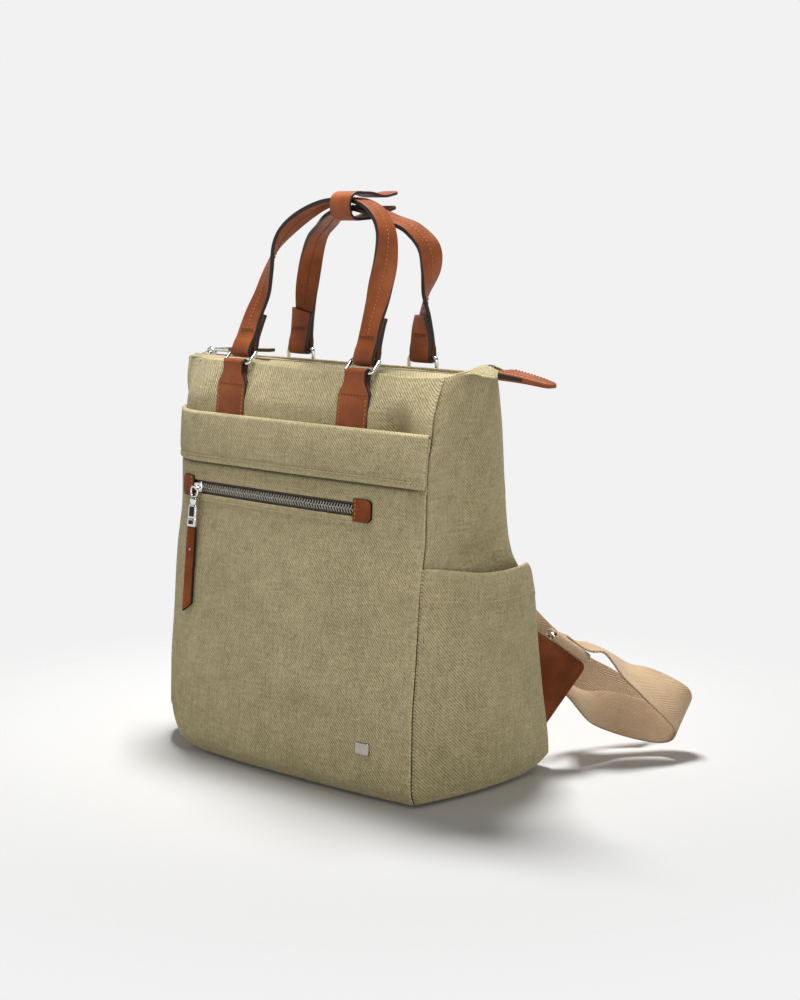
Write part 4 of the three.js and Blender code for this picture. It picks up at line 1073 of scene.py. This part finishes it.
def makeTop():
    xs = np.linspace(topLook["start"], topLook["end"], 150)
    ws = np.linspace(0, 1, 12)
    x, w = np.meshgrid(xs, ws, indexing="ij")
    for end, sign in (("front", -1), ("back", 1)):
        y = between(facingEdge(x, end), zipLineY(x) + sign * topLook["slot"], w)
        ripple = 0.5 * swell(x, y, 90 + sign, 60, 4)
        fold = 0.5 * np.exp(-((w - 1) / 0.16) ** 2)
        sag = topSag(x) * (1 - w) * (1 if end == "front" else 0.4)
        z = topZ(x) + 1.5 * w + fold + ripple * np.sin(math.pi * w) - sag
        z = z - 3.2 * (1 - w) ** 2 * eased((x - 148) / 24) * (1 - 0.5 * eased((x - 186) / 12))
        outer = spots(x, y, z)
        part = sheetPart(outer, outer - [0, 0, topLook["cloth"]], wear=seamWear(outer, 3.0))
        addPiece("topFacing" + end.capitalize(), [part], "canvas", "canvas", ["top_facing_" + end])
    xs = np.linspace(topLook["left"], topLook["right"] + 22, 90)
    x, w = np.meshgrid(xs, np.linspace(-1, 1, 5), indexing="ij")
    outer = spots(x, zipLineY(x) + w * 7, topZ(x) - 1.3)
    addPiece("topZipTape", [sheetPart(outer, outer - [0, 0, 0.8])], "tape", "zip_tape", ["top_zip_tape"])
    xs = np.linspace(topLook["left"] + 2, topLook["right"] + 12, 200)
    path = spots(xs, zipLineY(xs), topZ(xs) + 0.9)
    parts = teethRow(path, (0, 1, 0), (0, 0, 1))
    addPiece("topZipChain", parts, "teeth", "metal", ["top_zip_chain"], crease=35)


makeTop()


tailLook = {"start": 197, "end": 245, "half": 10.5, "tipHalf": 6.5, "thick": 8, "tipThick": 4.2, "drop": 6.0,
            "y": topLook["zipY"], "z": 339.2, "slit": 0.45, "slitHalf": 0.45, "stitchIn": 2.6}


def makeTail():
    rings, marks, weave = [], [], []
    angle = circle(40)
    tip = 1 - 0.1 * (1 - np.linspace(0, 1, 7)[1:]) ** 2
    for t in np.concatenate([[0, 0.004], np.linspace(0.03, 0.9, 16), tip]):
        x = between(tailLook["start"], tailLook["end"], t)
        close = math.sqrt(max(0.02, 1 - max(0, (t - 0.86) / 0.14) ** 2))
        half = between(tailLook["half"], tailLook["tipHalf"], t) * close * (0.97 if t == 0 else 1)
        thick = between(tailLook["thick"], tailLook["tipThick"], t) / 2 * (0.4 + 0.6 * close)
        c, s = np.cos(angle), np.sin(angle)
        a = np.sign(c) * np.abs(c) ** 0.35
        b = np.sign(s) * np.abs(s) ** 0.55
        y = tailLook["y"] + a * half
        z = tailLook["z"] - tailLook["drop"] * t + b * thick + 0.6 * math.sin(math.pi * t)
        rings.append(spots(x, y, z))
        # near the root each side is dark: the leather's painted edge, and painted shade for the slit between
        # its layers
        slit = (np.abs(b) < tailLook["slitHalf"]) & (np.abs(a) > 0.9)
        marks.append(np.where(slit, 1.0 if t < tailLook["slit"] else 0.3, 1.0 if t == 0 else 0.0))
        weave.append(spots(x, y, 3 * b))
    points, faces, _, _ = ringPart(rings)
    part = (points, faces, np.vstack(weave), {"rim": np.concatenate(marks)})
    addPiece("topZipTail", [part], "leather", "leather", ["top_zip_tail"])
    parts = []
    t = np.linspace(0.04, 0.8, 20)
    x = between(tailLook["start"], tailLook["end"], t)
    rise = between(tailLook["thick"], tailLook["tipThick"], t) / 2 + 0.5 * np.sin(math.pi * t)
    z = tailLook["z"] - tailLook["drop"] * t + rise
    for side in (-1, 1):
        y = tailLook["y"] + side * (between(tailLook["half"], tailLook["tipHalf"], t) - tailLook["stitchIn"])
        parts += stitchParts(spots(x, y, z), (0, 0, 1), *trimStitch)
    addPiece("topZipTailStitch", parts, "lightThread", "leather")


makeTail()
print("top made")


# sliders and pulls

pullLook = {"hinge": (-103, -69.2, 228.5), "lean": math.radians(5.8), "link": (4.2, 4.4, 0.9),
            "bar": 25, "barWide": 10, "barThick": 3.4, "strip": 74, "stripWide": 11, "stripThick": 2.6,
            "slant": 8, "rivet": 53.9}  # slant of the strip's cut end, rivet's way down from the hinge
topPullLook = {"x": -160.0, "z": 336.7, "sliderUp": 0.6, "up": 4.2, "rise": 0.045, "strip": 60, "slant": 6}
sliderLook = ((-4.6, 5.5, 3.2), (-4.2, 7.2, 4.0), (0.0, 8.4, 4.4), (3.8, 9.6, 4.2), (4.6, 8.2, 3.4))


def loopPath(wide, tall, count=40, power=0.6):
    angle = circle(count)
    c, s = np.cos(angle), np.sin(angle)
    return np.sign(c) * np.abs(c) ** power * wide, np.sign(s) * np.abs(s) ** power * tall


def blockPart(place, sections):
    rings = []
    for along, wide, thick, power in sections:
        a, b = loopPath(wide / 2, thick / 2, 24, power)
        rings.append(place(a, b, along))
    return ringPart(rings)


def pullParts(place, stripLength, slant):
    wide, tall, wire = pullLook["link"]
    a, h = loopPath(wide, tall, 36, 0.75)
    link = [tubePart(place(a, 0 * a, h + tall - 0.6), wire, 10)]
    top = 2 * tall + 0.3
    bar, bw, bt = pullLook["bar"], pullLook["barWide"], pullLook["barThick"]
    shape = [(0, 0.45, 0.6), (0.6, 0.66, 0.85), (2.0, 0.74, 1.0), (4.4, 0.74, 1.0), (5.2, 0.62, 0.8),
             (6.0, 0.6, 0.78), (6.8, 0.92, 1.0), (8.0, 1.0, 1.1), (bar - 8.5, 1.0, 1.1),
             (bar - 7.6, 0.94, 1.0), (bar - 7.0, 0.94, 1.0), (bar - 6.4, 1.06, 1.28),
             (bar - 0.7, 1.06, 1.28), (bar, 0.98, 1.15)]  # way along, share of the width and of the thickness
    body = [blockPart(place, [(top + d, bw * w, bt * t, 0.45) for d, w, t in shape])]
    inlay = []
    for a, b in ((7.4, bar - 8.2), (bar - 5.6, bar - 1.6)):
        rims = [(a, 0.3, 0.5), (a + 0.4, 0.74, 1.0), (b - 0.4, 0.74, 1.0), (b, 0.3, 0.5)]
        tall = bt * (1.16 if a < 10 else 1.34)
        inlay.append(blockPart(place, [(top + d, bw * w, tall * t, 0.3) for d, w, t in rims]))
    length = np.linspace(0, 1, 40)
    d = top + bar + 0.2 + length * stripLength
    mid = np.stack([place(np.zeros(1), np.zeros(1), k)[0] for k in d])
    side = unit(place(np.ones(1), np.zeros(1), d[0])[0] - mid[0])
    width = pullLook["stripWide"] * (1 - 0.10 * np.exp(-(length / 0.05) ** 2))
    points, faces, weave, marks = ribbonPart(mid, side, width, pullLook["stripThick"], 7, 0.12, 0.12)
    along = unit(mid[-1] - mid[0])
    cut = ((points - mid[-1]) @ side) / (pullLook["stripWide"] / 2)
    ending = eased(((points - mid[0]) @ along / stripLength - 0.7) / 0.3)
    points = points - along[None] * (ending * slant * (0.5 + 0.5 * cut))[:, None]
    return link, body, inlay, [(points, faces, weave, marks)]


def hanging(across, out, along):
    x, y, z = pullLook["hinge"]
    sl, cl = math.sin(pullLook["lean"]), math.cos(pullLook["lean"])
    return spots(x + across, y - along * sl - out * cl, z - along * cl + out * sl)


def onTopZip(up, rise):  # places along the top zip, from its slider to the right
    x, z = topPullLook["x"], topPullLook["z"]
    y = float(zipLineY(np.float64(x)))
    turn = math.atan2(float(zipLineY(np.float64(x + topPullLook["strip"]))) - y, topPullLook["strip"])
    c, s = math.cos(turn), math.sin(turn)

    def place(across, out, along):
        return spots(x + along * c - across * s, y + along * s + across * c, z + up + rise * along + out)
    return place


def sliderParts(place):
    body = blockPart(place, [(along, wide, thick, 0.5) for along, wide, thick in sliderLook])
    angle = np.linspace(0, math.pi, 14)
    arch = place(np.zeros(14), 1.6 + 3.4 * np.sin(angle), -3.4 * np.cos(angle))
    return [body, tubePart(arch, 1.1, 8, closed=False)]


def makeFrontPull():
    x, _, z = pullLook["hinge"]
    skin = onFront(np.array([x]), np.array([z]), 0.0)[0, 1]
    onZip = lambda a, b, along: spots(x + along, skin - 0.4 - b, z + a)
    addPiece("frontZipSlider", sliderParts(onZip), "metal", "metal", ["front_zip_slider"])
    link, body, inlay, strip = pullParts(hanging, pullLook["strip"], pullLook["slant"])
    addPiece("frontPullLink", link, "metal", "metal", ["front_pull_link"], "front_pull")
    addPiece("frontPullBar", body, "metal", "metal", ["front_pull_bar"], "front_pull", crease=40)
    # the inlay's near-black is painted dark reflection
    addPiece("frontPullInlay", inlay, "darkMetal", "metal", body="front_pull", crease=40)
    addPiece("frontPullStrip", strip, "trimLeather", "leather", ["front_pull_strip"], "front_pull")
    dot = circle(16)
    face = pullLook["stripThick"] / 2
    rings = [hanging(np.cos(dot) * r, np.full(16, face + h), pullLook["rivet"] + np.sin(dot) * r)
             for r, h in ((1.1, -0.4), (1.1, 0.2), (0.7, 0.5), (0.2, 0.6))]
    addPiece("frontPullRivet", [ringPart(rings)], "teeth", "metal", body="front_pull")


makeFrontPull()


def makeTopPull():
    slider = sliderParts(onTopZip(topPullLook["sliderUp"], 0.0))
    addPiece("topZipSlider", slider, "metal", "metal", ["top_zip_slider"])
    lying = onTopZip(topPullLook["up"], topPullLook["rise"])
    link, body, _, strip = pullParts(lying, topPullLook["strip"], topPullLook["slant"])
    addPiece("topPullLink", link, "metal", "metal", ["top_pull_link"])
    addPiece("topPullBar", body, "metal", "metal", ["top_pull_bar"], crease=40)
    addPiece("topPullStrip", strip, "leather", "leather", ["top_pull_strip"])


makeTopPull()
print("pulls made")


# handles

handleLook = {"width": 20, "thick": 3.5, "loopWide": 0.09, "tail": 32, "row": 14, "rowHalf": 8.2,
              "near": 1.95, "round": 1.75, "start": 3.15, "bowRows": 13, "stitch": (2.5, 3.4),
              "twist": {"front": ((375, 108), (362, 100)), "back": ((362, 100), (350, 80))},
              "roll": {"front": ((-26, 455, 18), (0, 455, 18)), "back": ((0, 432, 22), (20, 432, 22))}}
# twist and roll: one row for the left leg and one for the right, heights in mm and leans in degrees
ringLook = {"halfWidth": 15.5, "halfHeight": 7, "wire": 1.75,
            "front": {"y": -46.5, "z": 336, "tilt": math.pi / 4}, "back": {"y": 30, "z": 331, "tilt": 0}}
tabLook = {"x": slip["tabX"], "low": 262, "bend": 320, "wide": 35, "narrow": 23, "narrowFrom": 317,
           "thick": 2.0, "bow": 3.2, "row": 318.5, "rowHalf": 14.5, "edgeIn": 2.8, "edgeTop": 318,
           "stitch": (2.6, 3.6)}
handleRows = {
    "front": [(-73, -35.8, 349), (-71.5, -32, 361), (-69.5, -27.5, 375), (-64.5, -23, 394), (-59, -20, 415),
              (-53, -18, 432), (-41, -16.5, 447), (-19, -15, 461.5), (8, -13.5, 471.5), (32, -13, 473.4),
              (50, -13.5, 470.5), (65, -14.5, 462.5), (75, -16, 448), (77, -18.5, 425), (73.5, -21.5, 402),
              (71.5, -26, 378), (72.5, -31.5, 362), (73, -35.8, 349)],
    "back": [(-73, 30, 348.2), (-69.5, 30, 374), (-61.5, 28.3, 406), (-50, 23, 429), (-36, 15.5, 443),
             (-18, 8, 452), (8, -6, 461.5), (32, -12, 467), (48, -9, 464.6), (63, 4.6, 457.2),
             (76, 15, 449.2), (86.5, 22, 435), (84, 28, 418), (76, 30, 394), (73, 30, 372), (73, 30, 348.2)],
}


def handleSides(path, end, out):  # the strap lies across at the top and turns a quarter on its way down
    half = np.arange(len(path)) < len(path) / 2
    z = path[:, 2]
    left, right = (eased((z - low) / reach) for low, reach in handleLook["twist"][end])
    rolls = [math.radians(lean) * np.exp(-((z - at) / reach) ** 2)
             for lean, at, reach in handleLook["roll"][end]]
    angle = np.where(half, 1 - left, right - 1) * math.pi / 2 + np.where(half, *rolls)
    return spots(out * np.sin(angle), np.cos(angle), 0.0)


def offsetAt(d):  # how far the strap stands out from its middle line by the ring
    return (handleLook["near"] + handleLook["round"] * np.exp(-(d / 6) ** 2)) * (1 - eased((d - 24) / 28))


def tailOffset(d):
    return offsetAt(d) - 2 * handleLook["near"] - 2 * handleLook["round"] * np.exp(-(d / 6) ** 2)


def handleEnd(path, side, out):
    heading = headings(path)
    flat = unit(side - heading * (side * heading).sum(1)[:, None])
    away = np.cross(heading, flat)
    away = away * np.sign((away[0] * [0, out, 0]).sum() or 1)
    gone = lengthAlong(path)
    return gone, heading, away


def makeHandles():
    faceStitch, underStitch, rows = [], [], []
    for end, out in (("front", -1), ("back", 1)):
        path = evenly(curvePoints(handleRows[end], 500), step=1.6)
        side = handleSides(path, end, out)
        gone, heading, away = handleEnd(path, side, out)
        left, right = gone, gone[-1] - gone
        strap = path + away * (offsetAt(left) + offsetAt(right))[:, None]
        inner, over, bowRows = {}, {}, handleLook["bowRows"]
        for key, d, first, order in (("left", left, 0, 1), ("right", right, -1, -1)):
            at = np.argsort(d)
            at = at[(d[at] > 2) & (d[at] < handleLook["tail"])]
            inner[key] = (path[at] + away[at] * tailOffset(d[at])[:, None], side[at])
            h, n = heading[first] * order, away[first]
            bar = path[first] - h * handleLook["start"]
            reach = handleLook["near"] + handleLook["round"]
            turn = np.linspace(0.15, math.pi - 0.15, bowRows)
            bow = [bar + reach * (-n * math.cos(k) - h * math.sin(k)) for k in turn]
            over[key] = (np.array(bow), np.tile(side[first], (bowRows, 1)))
        body = slice(2, -2)
        line, across = (np.vstack([inner["left"][k][::-1], over["left"][k], middle[body],
                                   over["right"][k][::-1], inner["right"][k]])
                        for k, middle in enumerate((strap, side)))
        span = np.minimum(left, right)[body]
        broad = 1 + handleLook["loopWide"] * (1 - eased((span - 12) / 18))
        most = 1 + handleLook["loopWide"]
        start, finish = (np.full(len(inner[key][0]) + bowRows, most) for key in ("left", "right"))
        width = handleLook["width"] * np.concatenate([start, broad, finish])
        part = ribbonPart(line, across, width, handleLook["thick"], 9, 0.07, 0.08)
        addPiece("handleStrap" + end.capitalize(), [part], "leather", "leather", ["handle_strap_" + end])
        top = handleLook["thick"] / 2 * 1.08
        keep = (left > handleLook["row"]) & (right > handleLook["row"])
        faceStitch += stitchParts((strap + away * top)[keep], away[keep], *handleLook["stitch"], 0.45)
        keep = (left > handleLook["tail"] + 2) & (right > handleLook["tail"] + 2)
        underStitch += stitchParts((strap - away * top)[keep], -away[keep], *handleLook["stitch"], 0.42)
        for d in (left, right):
            k = int(np.argmin(np.abs(d - handleLook["row"])))
            for centre, up in ((strap[k] + away[k] * top, away[k]),
                               (path[k] + away[k] * (tailOffset(d[k]) - top), -away[k])):
                spread = np.linspace(-handleLook["rowHalf"], handleLook["rowHalf"], 9)
                for shift in (-0.5, 0.5):
                    line = centre + side[k] * (spread + shift)[:, None] + heading[k] * shift * 1.6
                    rows += stitchParts(line, up, 2.2, 2.6, 0.6)
    addPiece("handleStitchOuter", faceStitch, "lightThread", "leather")
    addPiece("handleStitchInner", underStitch, "darkThread", "leather")
    addPiece("handleStitchRows", rows, "darkThread", "leather")


makeHandles()


def makeRings():
    for end in ("front", "back"):
        at = ringLook[end]
        for name, side in (("left", -1), ("right", 1)):
            a, b = loopPath(ringLook["halfWidth"], ringLook["halfHeight"], 72, 0.32)
            h = b + ringLook["halfHeight"]
            path = spots(side * tabLook["x"] + a, at["y"] + h * math.sin(at["tilt"]),
                         at["z"] + h * math.cos(at["tilt"]))
            ring = tubePart(path, ringLook["wire"], 14)
            addPiece(f"handleRing{end.capitalize()}{name.capitalize()}", [ring], "metal", "metal",
                     [f"handle_ring_{end}_{name}"])


makeRings()


def tabLine(end, out, x):
    at, radius, thick = ringLook[end], tabLook["bow"], tabLook["thick"]
    s = np.float64(x / bodyHalf)
    panel = lambda z: frontY(s, z) + recess(s, z) + frontSoft(s, z) if out < 0 else backY(s, z)
    seat = lambda z: panel(z) + out * (0.3 + thick * (0.5 if z < 300 else 1.6))
    zs = np.array([tabLook["low"], 276, slip["mouth"], tabLook["bend"] + 2])
    ys = [seat(z) for z in zs]
    line = [(x, np.interp(z, zs, ys), z) for z in np.linspace(tabLook["low"], tabLook["bend"], 24)]
    line += [(x, at["y"] + out * radius * math.cos(k), at["z"] + radius * math.sin(k))
             for k in np.linspace(-0.25, math.pi + 0.15, 16)]
    line += [(x, panel(z) + out * (0.3 + thick * 0.5), z)
             for z in (tabLook["bend"] + 2, tabLook["bend"] - 1)]
    return evenly(curvePoints(line, 160), count=100)


def makeTabs():
    rows, edges = [], []
    for end, out in (("front", -1), ("back", 1)):
        for name, side in (("left", -1), ("right", 1)):
            x = side * tabLook["x"]
            line = tabLine(end, out, x)
            climb = eased((line[:, 2] - tabLook["narrowFrom"]) / 14)
            wide = between(tabLook["wide"], tabLook["narrow"], climb)
            part = ribbonPart(line, (1, 0, 0), wide, tabLook["thick"], 7, 0.045)
            addPiece(f"handleTab{end.capitalize()}{name.capitalize()}", [part], "leather", "leather",
                     [f"handle_tab_{end}_{name}"])
            front = line[:int(np.argmax(line[:, 2]))]
            outFace = tabLook["thick"] / 2
            keep = (front[:, 2] > tabLook["low"] + 4) & (front[:, 2] < tabLook["edgeTop"])
            inset = tabLook["wide"] / 2 - tabLook["edgeIn"]
            for a in (-1, 1):
                path = front[keep] + np.array([a * inset, out * outFace, 0])
                edges += stitchParts(path, (0, out, 0), *tabLook["stitch"])
            y = np.interp(tabLook["row"], front[:, 2], front[:, 1]) + out * outFace
            xs = np.linspace(x - tabLook["rowHalf"], x + tabLook["rowHalf"], 12)
            path = spots(xs, y, tabLook["row"])
            rows += stitchParts(path, (0, out, 0), *tabLook["stitch"], 0.5)
    addPiece("handleTabStitchRows", rows, "darkThread", "leather")
    addPiece("handleTabStitchEdges", edges, "lightThread", "leather")


makeTabs()


keeperLook = {"x": 35, "y": -12, "z": 469.8, "width": 23.5, "thick": 2.2, "corner": 6,
              "path": [(43, 9.6), (34, 7.6), (26, 6.4), (19, 7.0), (11, 8.8), (0, 9.2), (-8.5, 9.0),
                       (-14, 5.6), (-15.8, -1.5), (-14, -8.6), (-8.5, -12), (0, -12), (11, -11),
                       (20, -8.6), (30, -5.4), (41, -2.4)]}


def makeKeeper():
    rows = [(keeperLook["x"], keeperLook["y"] + y, keeperLook["z"] + z) for y, z in keeperLook["path"]]
    line = evenly(curvePoints(rows, 300), count=160)
    gone = lengthAlong(line)
    left = np.clip(np.minimum(gone, gone[-1] - gone) / keeperLook["corner"], 0.03, 1)
    cut = keeperLook["corner"] * (1 - np.sqrt(1 - (1 - left) ** 2))  # rounds the strip's corners
    width = keeperLook["width"] - 2 * cut
    part = ribbonPart(line, (1, 0, 0), width, keeperLook["thick"], 7, 0.06)
    addPiece("handleKeeper", [part], "leather", "leather", ["handle_keeper"])


makeKeeper()
print("handles made")


# shoulder straps

strapLook = {"width": 38, "thick": 2.0, "rolls": ((43, 3.9), (36, 3.3)), "rollThick": 1.9, "finThick": 3.0,
             "finStitch": (3.0, 4.2, 0.5), "ring": (24, 6, 1.8), "along": 25, "off": 4.9, "tilt": 1.405,
             "ringShift": 2.6, "sewnRows": (3, 6.5), "sewnHalf": 16, "sewnLean": 0.08,
             "sewnStitch": (2.8, 3.8, 0.55)}
# upper run and loop: place, the way across the webbing, share of its full width
upperRows = [(34, 31.6, 306, 1, 0, 0, 1), (36.5, 40, 280, 1, 0, 0, 1), (43, 52, 245, 0.97, 0.2, 0.1, 1),
             (56, 66, 205, 0.85, 0.45, 0.25, 1), (76, 82, 165, 0.6, 0.65, 0.45, 1),
             (98, 94, 136, 0.32, 0.76, 0.56, 1), (117.2, 104.9, 115.6, 0.13, 0.78, 0.61, 1),
             (126.5, 120.8, 96, 0.14, 0.78, 0.61, 1), (137.1, 157.2, 64.8, 0.16, 0.74, 0.65, 1),
             (151.4, 179.7, 50, 0.08, 0.75, 0.66, 1), (167.7, 197.6, 35.5, -0.03, 0.75, 0.66, 1),
             (175, 204.8, 30.5, -0.12, 0.76, 0.64, 1)]
loopRows = [(157.2, 113.2, 109.3, 0.96, -0.25, -0.05, 0.36), (159.4, 122.9, 102.5, 0.95, -0.28, -0.08, 0.4),
            (167.5, 132, 97.4, 0.9, -0.41, -0.14, 0.68), (174.7, 141.1, 94.7, 0.76, -0.65, 0.08, 1),
            (182.4, 149.5, 86.4, 0.62, -0.78, 0.05, 1), (193.3, 158.7, 74, 0.49, -0.87, -0.11, 1),
            (206, 169, 65.6, 0.27, -0.89, -0.37, 1), (219.8, 178.5, 54.8, 0.09, -0.83, -0.55, 1),
            (227.3, 186.4, 45.4, 0.02, -0.77, -0.64, 1), (226, 194.2, 34.9, 0.17, -0.81, -0.56, 1),
            (216.7, 197.5, 26.4, 0.28, -0.75, -0.6, 1), (203.2, 192.7, 24.4, 0.41, -0.54, -0.73, 1),
            (190.9, 180.4, 28.1, 0.37, -0.47, -0.8, 1), (176.6, 162.7, 35.1, 0.39, -0.45, -0.8, 1),
            (166.5, 144.6, 41.2, 0.61, -0.51, -0.61, 1), (158.5, 134.6, 49.6, 0.73, -0.55, -0.4, 1),
            (150.5, 126.5, 61.1, 0.75, -0.56, -0.35, 1)]
finCorners = {"top": (159, 71.4, 122), "tip": (172, 128, 82), "low": (159, 87.8, 34)}
finAxes = {"edge": (0.184, 0.803, -0.567), "out": (0.183, 0.539, 0.822), "face": (0.966, -0.255, -0.048)}
finTop, finTip, finLow = (np.array(place, float) for place in finCorners.values())
finEdge, finOut, finFace = (np.array(axis) for axis in finAxes.values())


def mirrored(part, side):
    points, faces, weave, marks = part
    return points * np.array([side, 1, 1]), faces, weave, marks


def finPart():
    outline = []
    for a, b, c, r in ((finLow, finTop, finTip, 1.5), (finTop, finTip, finLow, 7.0),
                       (finTip, finLow, finTop, 1.5)):
        p, q = b + unit(a - b) * r, b + unit(c - b) * r
        for t in np.linspace(0, 1, 6):
            outline.append(between(between(p, b, t), between(b, q, t), t))
    dense = []
    for i in range(len(outline)):
        p, q = outline[i], outline[(i + 1) % len(outline)]
        count = max(1, int(np.linalg.norm(q - p) / 4))
        dense += [between(p, q, k / count) for k in range(count)]
    outline = np.array(dense)
    middle = (finTop + finTip + finLow) / 3
    rings, marks = [], []
    half = strapLook["finThick"] / 2
    steps = [(0.02, -1, 0), (0.5, -1, 0), (0.955, -1, 0), (0.985, -0.85, 1), (1.0, -0.4, 1), (1.0, 0.4, 1),
             (0.985, 0.85, 1), (0.955, 1, 0), (0.7, 1.2, 0), (0.4, 1.3, 0), (0.02, 1.35, 0)]
    for share, height, mark in steps:
        rings.append(middle + (outline - middle) * share + finFace * half * height)
        marks += [float(mark)] * len(outline)
    points, faces, _, _ = ringPart(rings)
    weave = spots(points @ finEdge, points @ finOut, points @ finFace)
    return points, faces, weave, {"rim": np.array(marks)}


def finStitchParts():  # two rows under the upper edge and one along the lower edge
    lift = finFace * (strapLook["finThick"] / 2 * 1.1)
    inward = unit(np.cross(finFace, finTip - finLow))
    inward = inward if inward @ (finTop - finLow) > 0 else -inward
    parts = []
    for start, shift, a, b in ((finTop, finOut * -3.5, 0.12, 0.86), (finTop, finOut * -14, 0.22, 0.78),
                               (finLow, inward * 4, 0.12, 0.9)):
        path = np.array([between(start, finTip, t) + shift + lift for t in np.linspace(a, b, 20)])
        parts += stitchParts(path, finFace, *strapLook["finStitch"])
    return parts


def sewnParts():  # rows of stitches at the webbing's upper end
    (x, y, z), (_, nextY, nextZ) = upperRows[0][:3], upperRows[1][:3]
    half, parts = strapLook["sewnHalf"], []
    for down in strapLook["sewnRows"]:
        xs = np.linspace(x - half, x + half, 14) + strapLook["sewnLean"] * down
        face = np.interp(down, [0, z - nextZ], [y, nextY]) + strapLook["thick"] / 2
        path = spots(xs, face, z - down)
        parts += stitchParts(path, (0, 1, 0.2), *strapLook["sewnStitch"])
    return parts


def runPart(rows):
    line = evenly(curvePoints(rows, 400), step=2.0)
    width = strapLook["width"] * np.clip(line[:, 6], 0.3, 1.0)
    return ribbonPart(line[:, :3], line[:, 3:6], width, strapLook["thick"], 21, 0.055)


def adjusterParts():  # the ring, and the webbing rolled round its near and far bar
    wide, tall, wire = strapLook["ring"]
    behind = -finFace * math.sin(strapLook["tilt"]) + finOut * math.cos(strapLook["tilt"])
    nearBar = finTip - finEdge * strapLook["along"] + finOut * strapLook["off"]
    a, b = loopPath(wide, tall, 80, 0.3)
    path = nearBar + (a + strapLook["ringShift"])[:, None] * finEdge + (b + tall)[:, None] * behind
    ring, rolls = tubePart(path, wire, 12), []
    for bar, (long, radius) in zip((nearBar, nearBar + behind * 2 * tall), strapLook["rolls"]):
        path = [bar + radius * (finFace * math.cos(k) + finOut * math.sin(k))
                for k in np.linspace(-1.1, 1.5 * math.pi - 0.6, 44)]
        rolls.append(ribbonPart(path, finEdge, long, strapLook["rollThick"], 15, 0.05))
    return ring, *rolls


def makeStraps():
    ring, nearRoll, farRoll = adjusterParts()
    upper, loop = runPart(upperRows), runPart(loopRows)
    pieces = [("strapTopStitch", sewnParts(), "canvasThread", "webbing", None),
              ("strapFin", [finPart()], "finShadeLeather", "leather", "strap_fin_"),
              ("strapFinStitch", finStitchParts(), "darkThread", "leather", None),
              ("strapRing", [ring], "metal", "metal", "strap_ring_"),
              ("strapRoll", [nearRoll], "webbing", "webbing", "strap_roll_"),
              ("strapUpper", [upper], "webbing", "webbing", "strap_upper_"),
              ("strapLoop", [loop, farRoll], "webbing", "webbing", "strap_loop_")]
    for end, side in (("Left", -1), ("Right", 1)):
        for name, parts, finish, slot, node in pieces:
            replaces = [node + end.lower()] if node else ()
            addPiece(name + end, [mirrored(part, side) for part in parts], finish, slot, replaces)


makeStraps()
print("straps made")


# floor, light and camera

stageLook = {"floor": (0.93, 0.93, 0.925), "radius": 0.8, "drop": 0.0005, "centre": (0.02, 0.03),
             "fadeFrom": 0.24, "fadeTo": 0.58, "tint": (1.0, 1.0, 0.998, 1),
             "backdrop": {"From Min": 0.14, "From Max": 0.5, "To Min": 0.885, "To Max": 0.10}}
# name, place, size, power, whether it lights the floor
lampLook = [("key", (-0.36, 0.34, 2.0), 0.45, 38.0, True), ("top", (0.22, -0.14, 2.1), 1.1, 45.0, False),
            ("fill", (1.60, -1.00, 0.45), 1.0, 5.8, False)]
cameraLook = {"lens": 70.92, "sensor": 36, "place": (1.1827, -1.1669, 0.469),
              "view": (-0.6808, 0.7174, -0.1481)}


def aimed(direction):
    return Vector(direction).to_track_quat("-Z", "Y").to_euler()


def makeFloor():  # a pale disc that fades into the backdrop
    p = Paint("paleFloor")
    x, y, _ = p.parts(p.node("ShaderNodeTexCoord", out=3))
    dx, dy = x - stageLook["centre"][0], y - stageLook["centre"][1]
    away = (dx * dx + dy * dy) ** 0.5
    p.done({"Base Color": (*stageLook["floor"], 1), "Roughness": 0.9, "Specular IOR Level": 0.1,
            "Alpha": 1 - p.clamped(away, stageLook["fadeFrom"], stageLook["fadeTo"])})
    mesh = bpy.data.meshes.new("floor")
    radius, level = stageLook["radius"], -stageLook["drop"]
    angle = circle(64)
    rim = [(radius * math.cos(k), radius * math.sin(k), level) for k in angle]
    mesh.from_pydata(rim, [], [tuple(range(64))])
    mesh.materials.append(p.material)
    floor = placed("floor", mesh)
    return floor


def makeBackdrop():  # bright round the horizon, dim overhead
    world = bpy.data.worlds.new("studio")
    bpy.context.scene.world = world
    world.use_nodes = True
    tree = world.node_tree
    sky = tree.nodes.new("ShaderNodeTexCoord")
    split = tree.nodes.new("ShaderNodeSeparateXYZ")
    ramp = tree.nodes.new("ShaderNodeMapRange")
    tree.links.new(sky.outputs["Generated"], split.inputs[0])
    tree.links.new(split.outputs[2], ramp.inputs["Value"])
    for key, value in stageLook["backdrop"].items():
        ramp.inputs[key].default_value = value
    back = tree.nodes["Background"]
    back.inputs[0].default_value = stageLook["tint"]
    tree.links.new(ramp.outputs[0], back.inputs[1])


def makeLamps(floor):
    spared = bpy.data.collections.new("spared")  # the top and fill lamps leave the floor out
    spared.objects.link(floor)
    spared.collection_objects[0].light_linking.link_state = "EXCLUDE"
    for name, place, size, power, onFloor in lampLook:
        lamp = bpy.data.lights.new(name, "AREA")
        lamp.size = size
        lamp.energy = power
        obj = placed(name, lamp)
        obj.location = place
        obj.rotation_euler = aimed(Vector((0, 0, 0.2)) - Vector(place))
        if not onFloor:
            obj.light_linking.receiver_collection = spared


def makeCamera():
    lens = bpy.data.cameras.new("photo")
    lens.lens = cameraLook["lens"]
    lens.sensor_width = cameraLook["sensor"]
    camera = placed("photo", lens)
    camera.location = cameraLook["place"]
    camera.rotation_euler = aimed(cameraLook["view"])
    bpy.context.scene.camera = camera
    bpy.context.scene.view_settings.view_transform = "Standard"


makeLamps(makeFloor())
makeBackdrop()
makeCamera()
print("stage made")
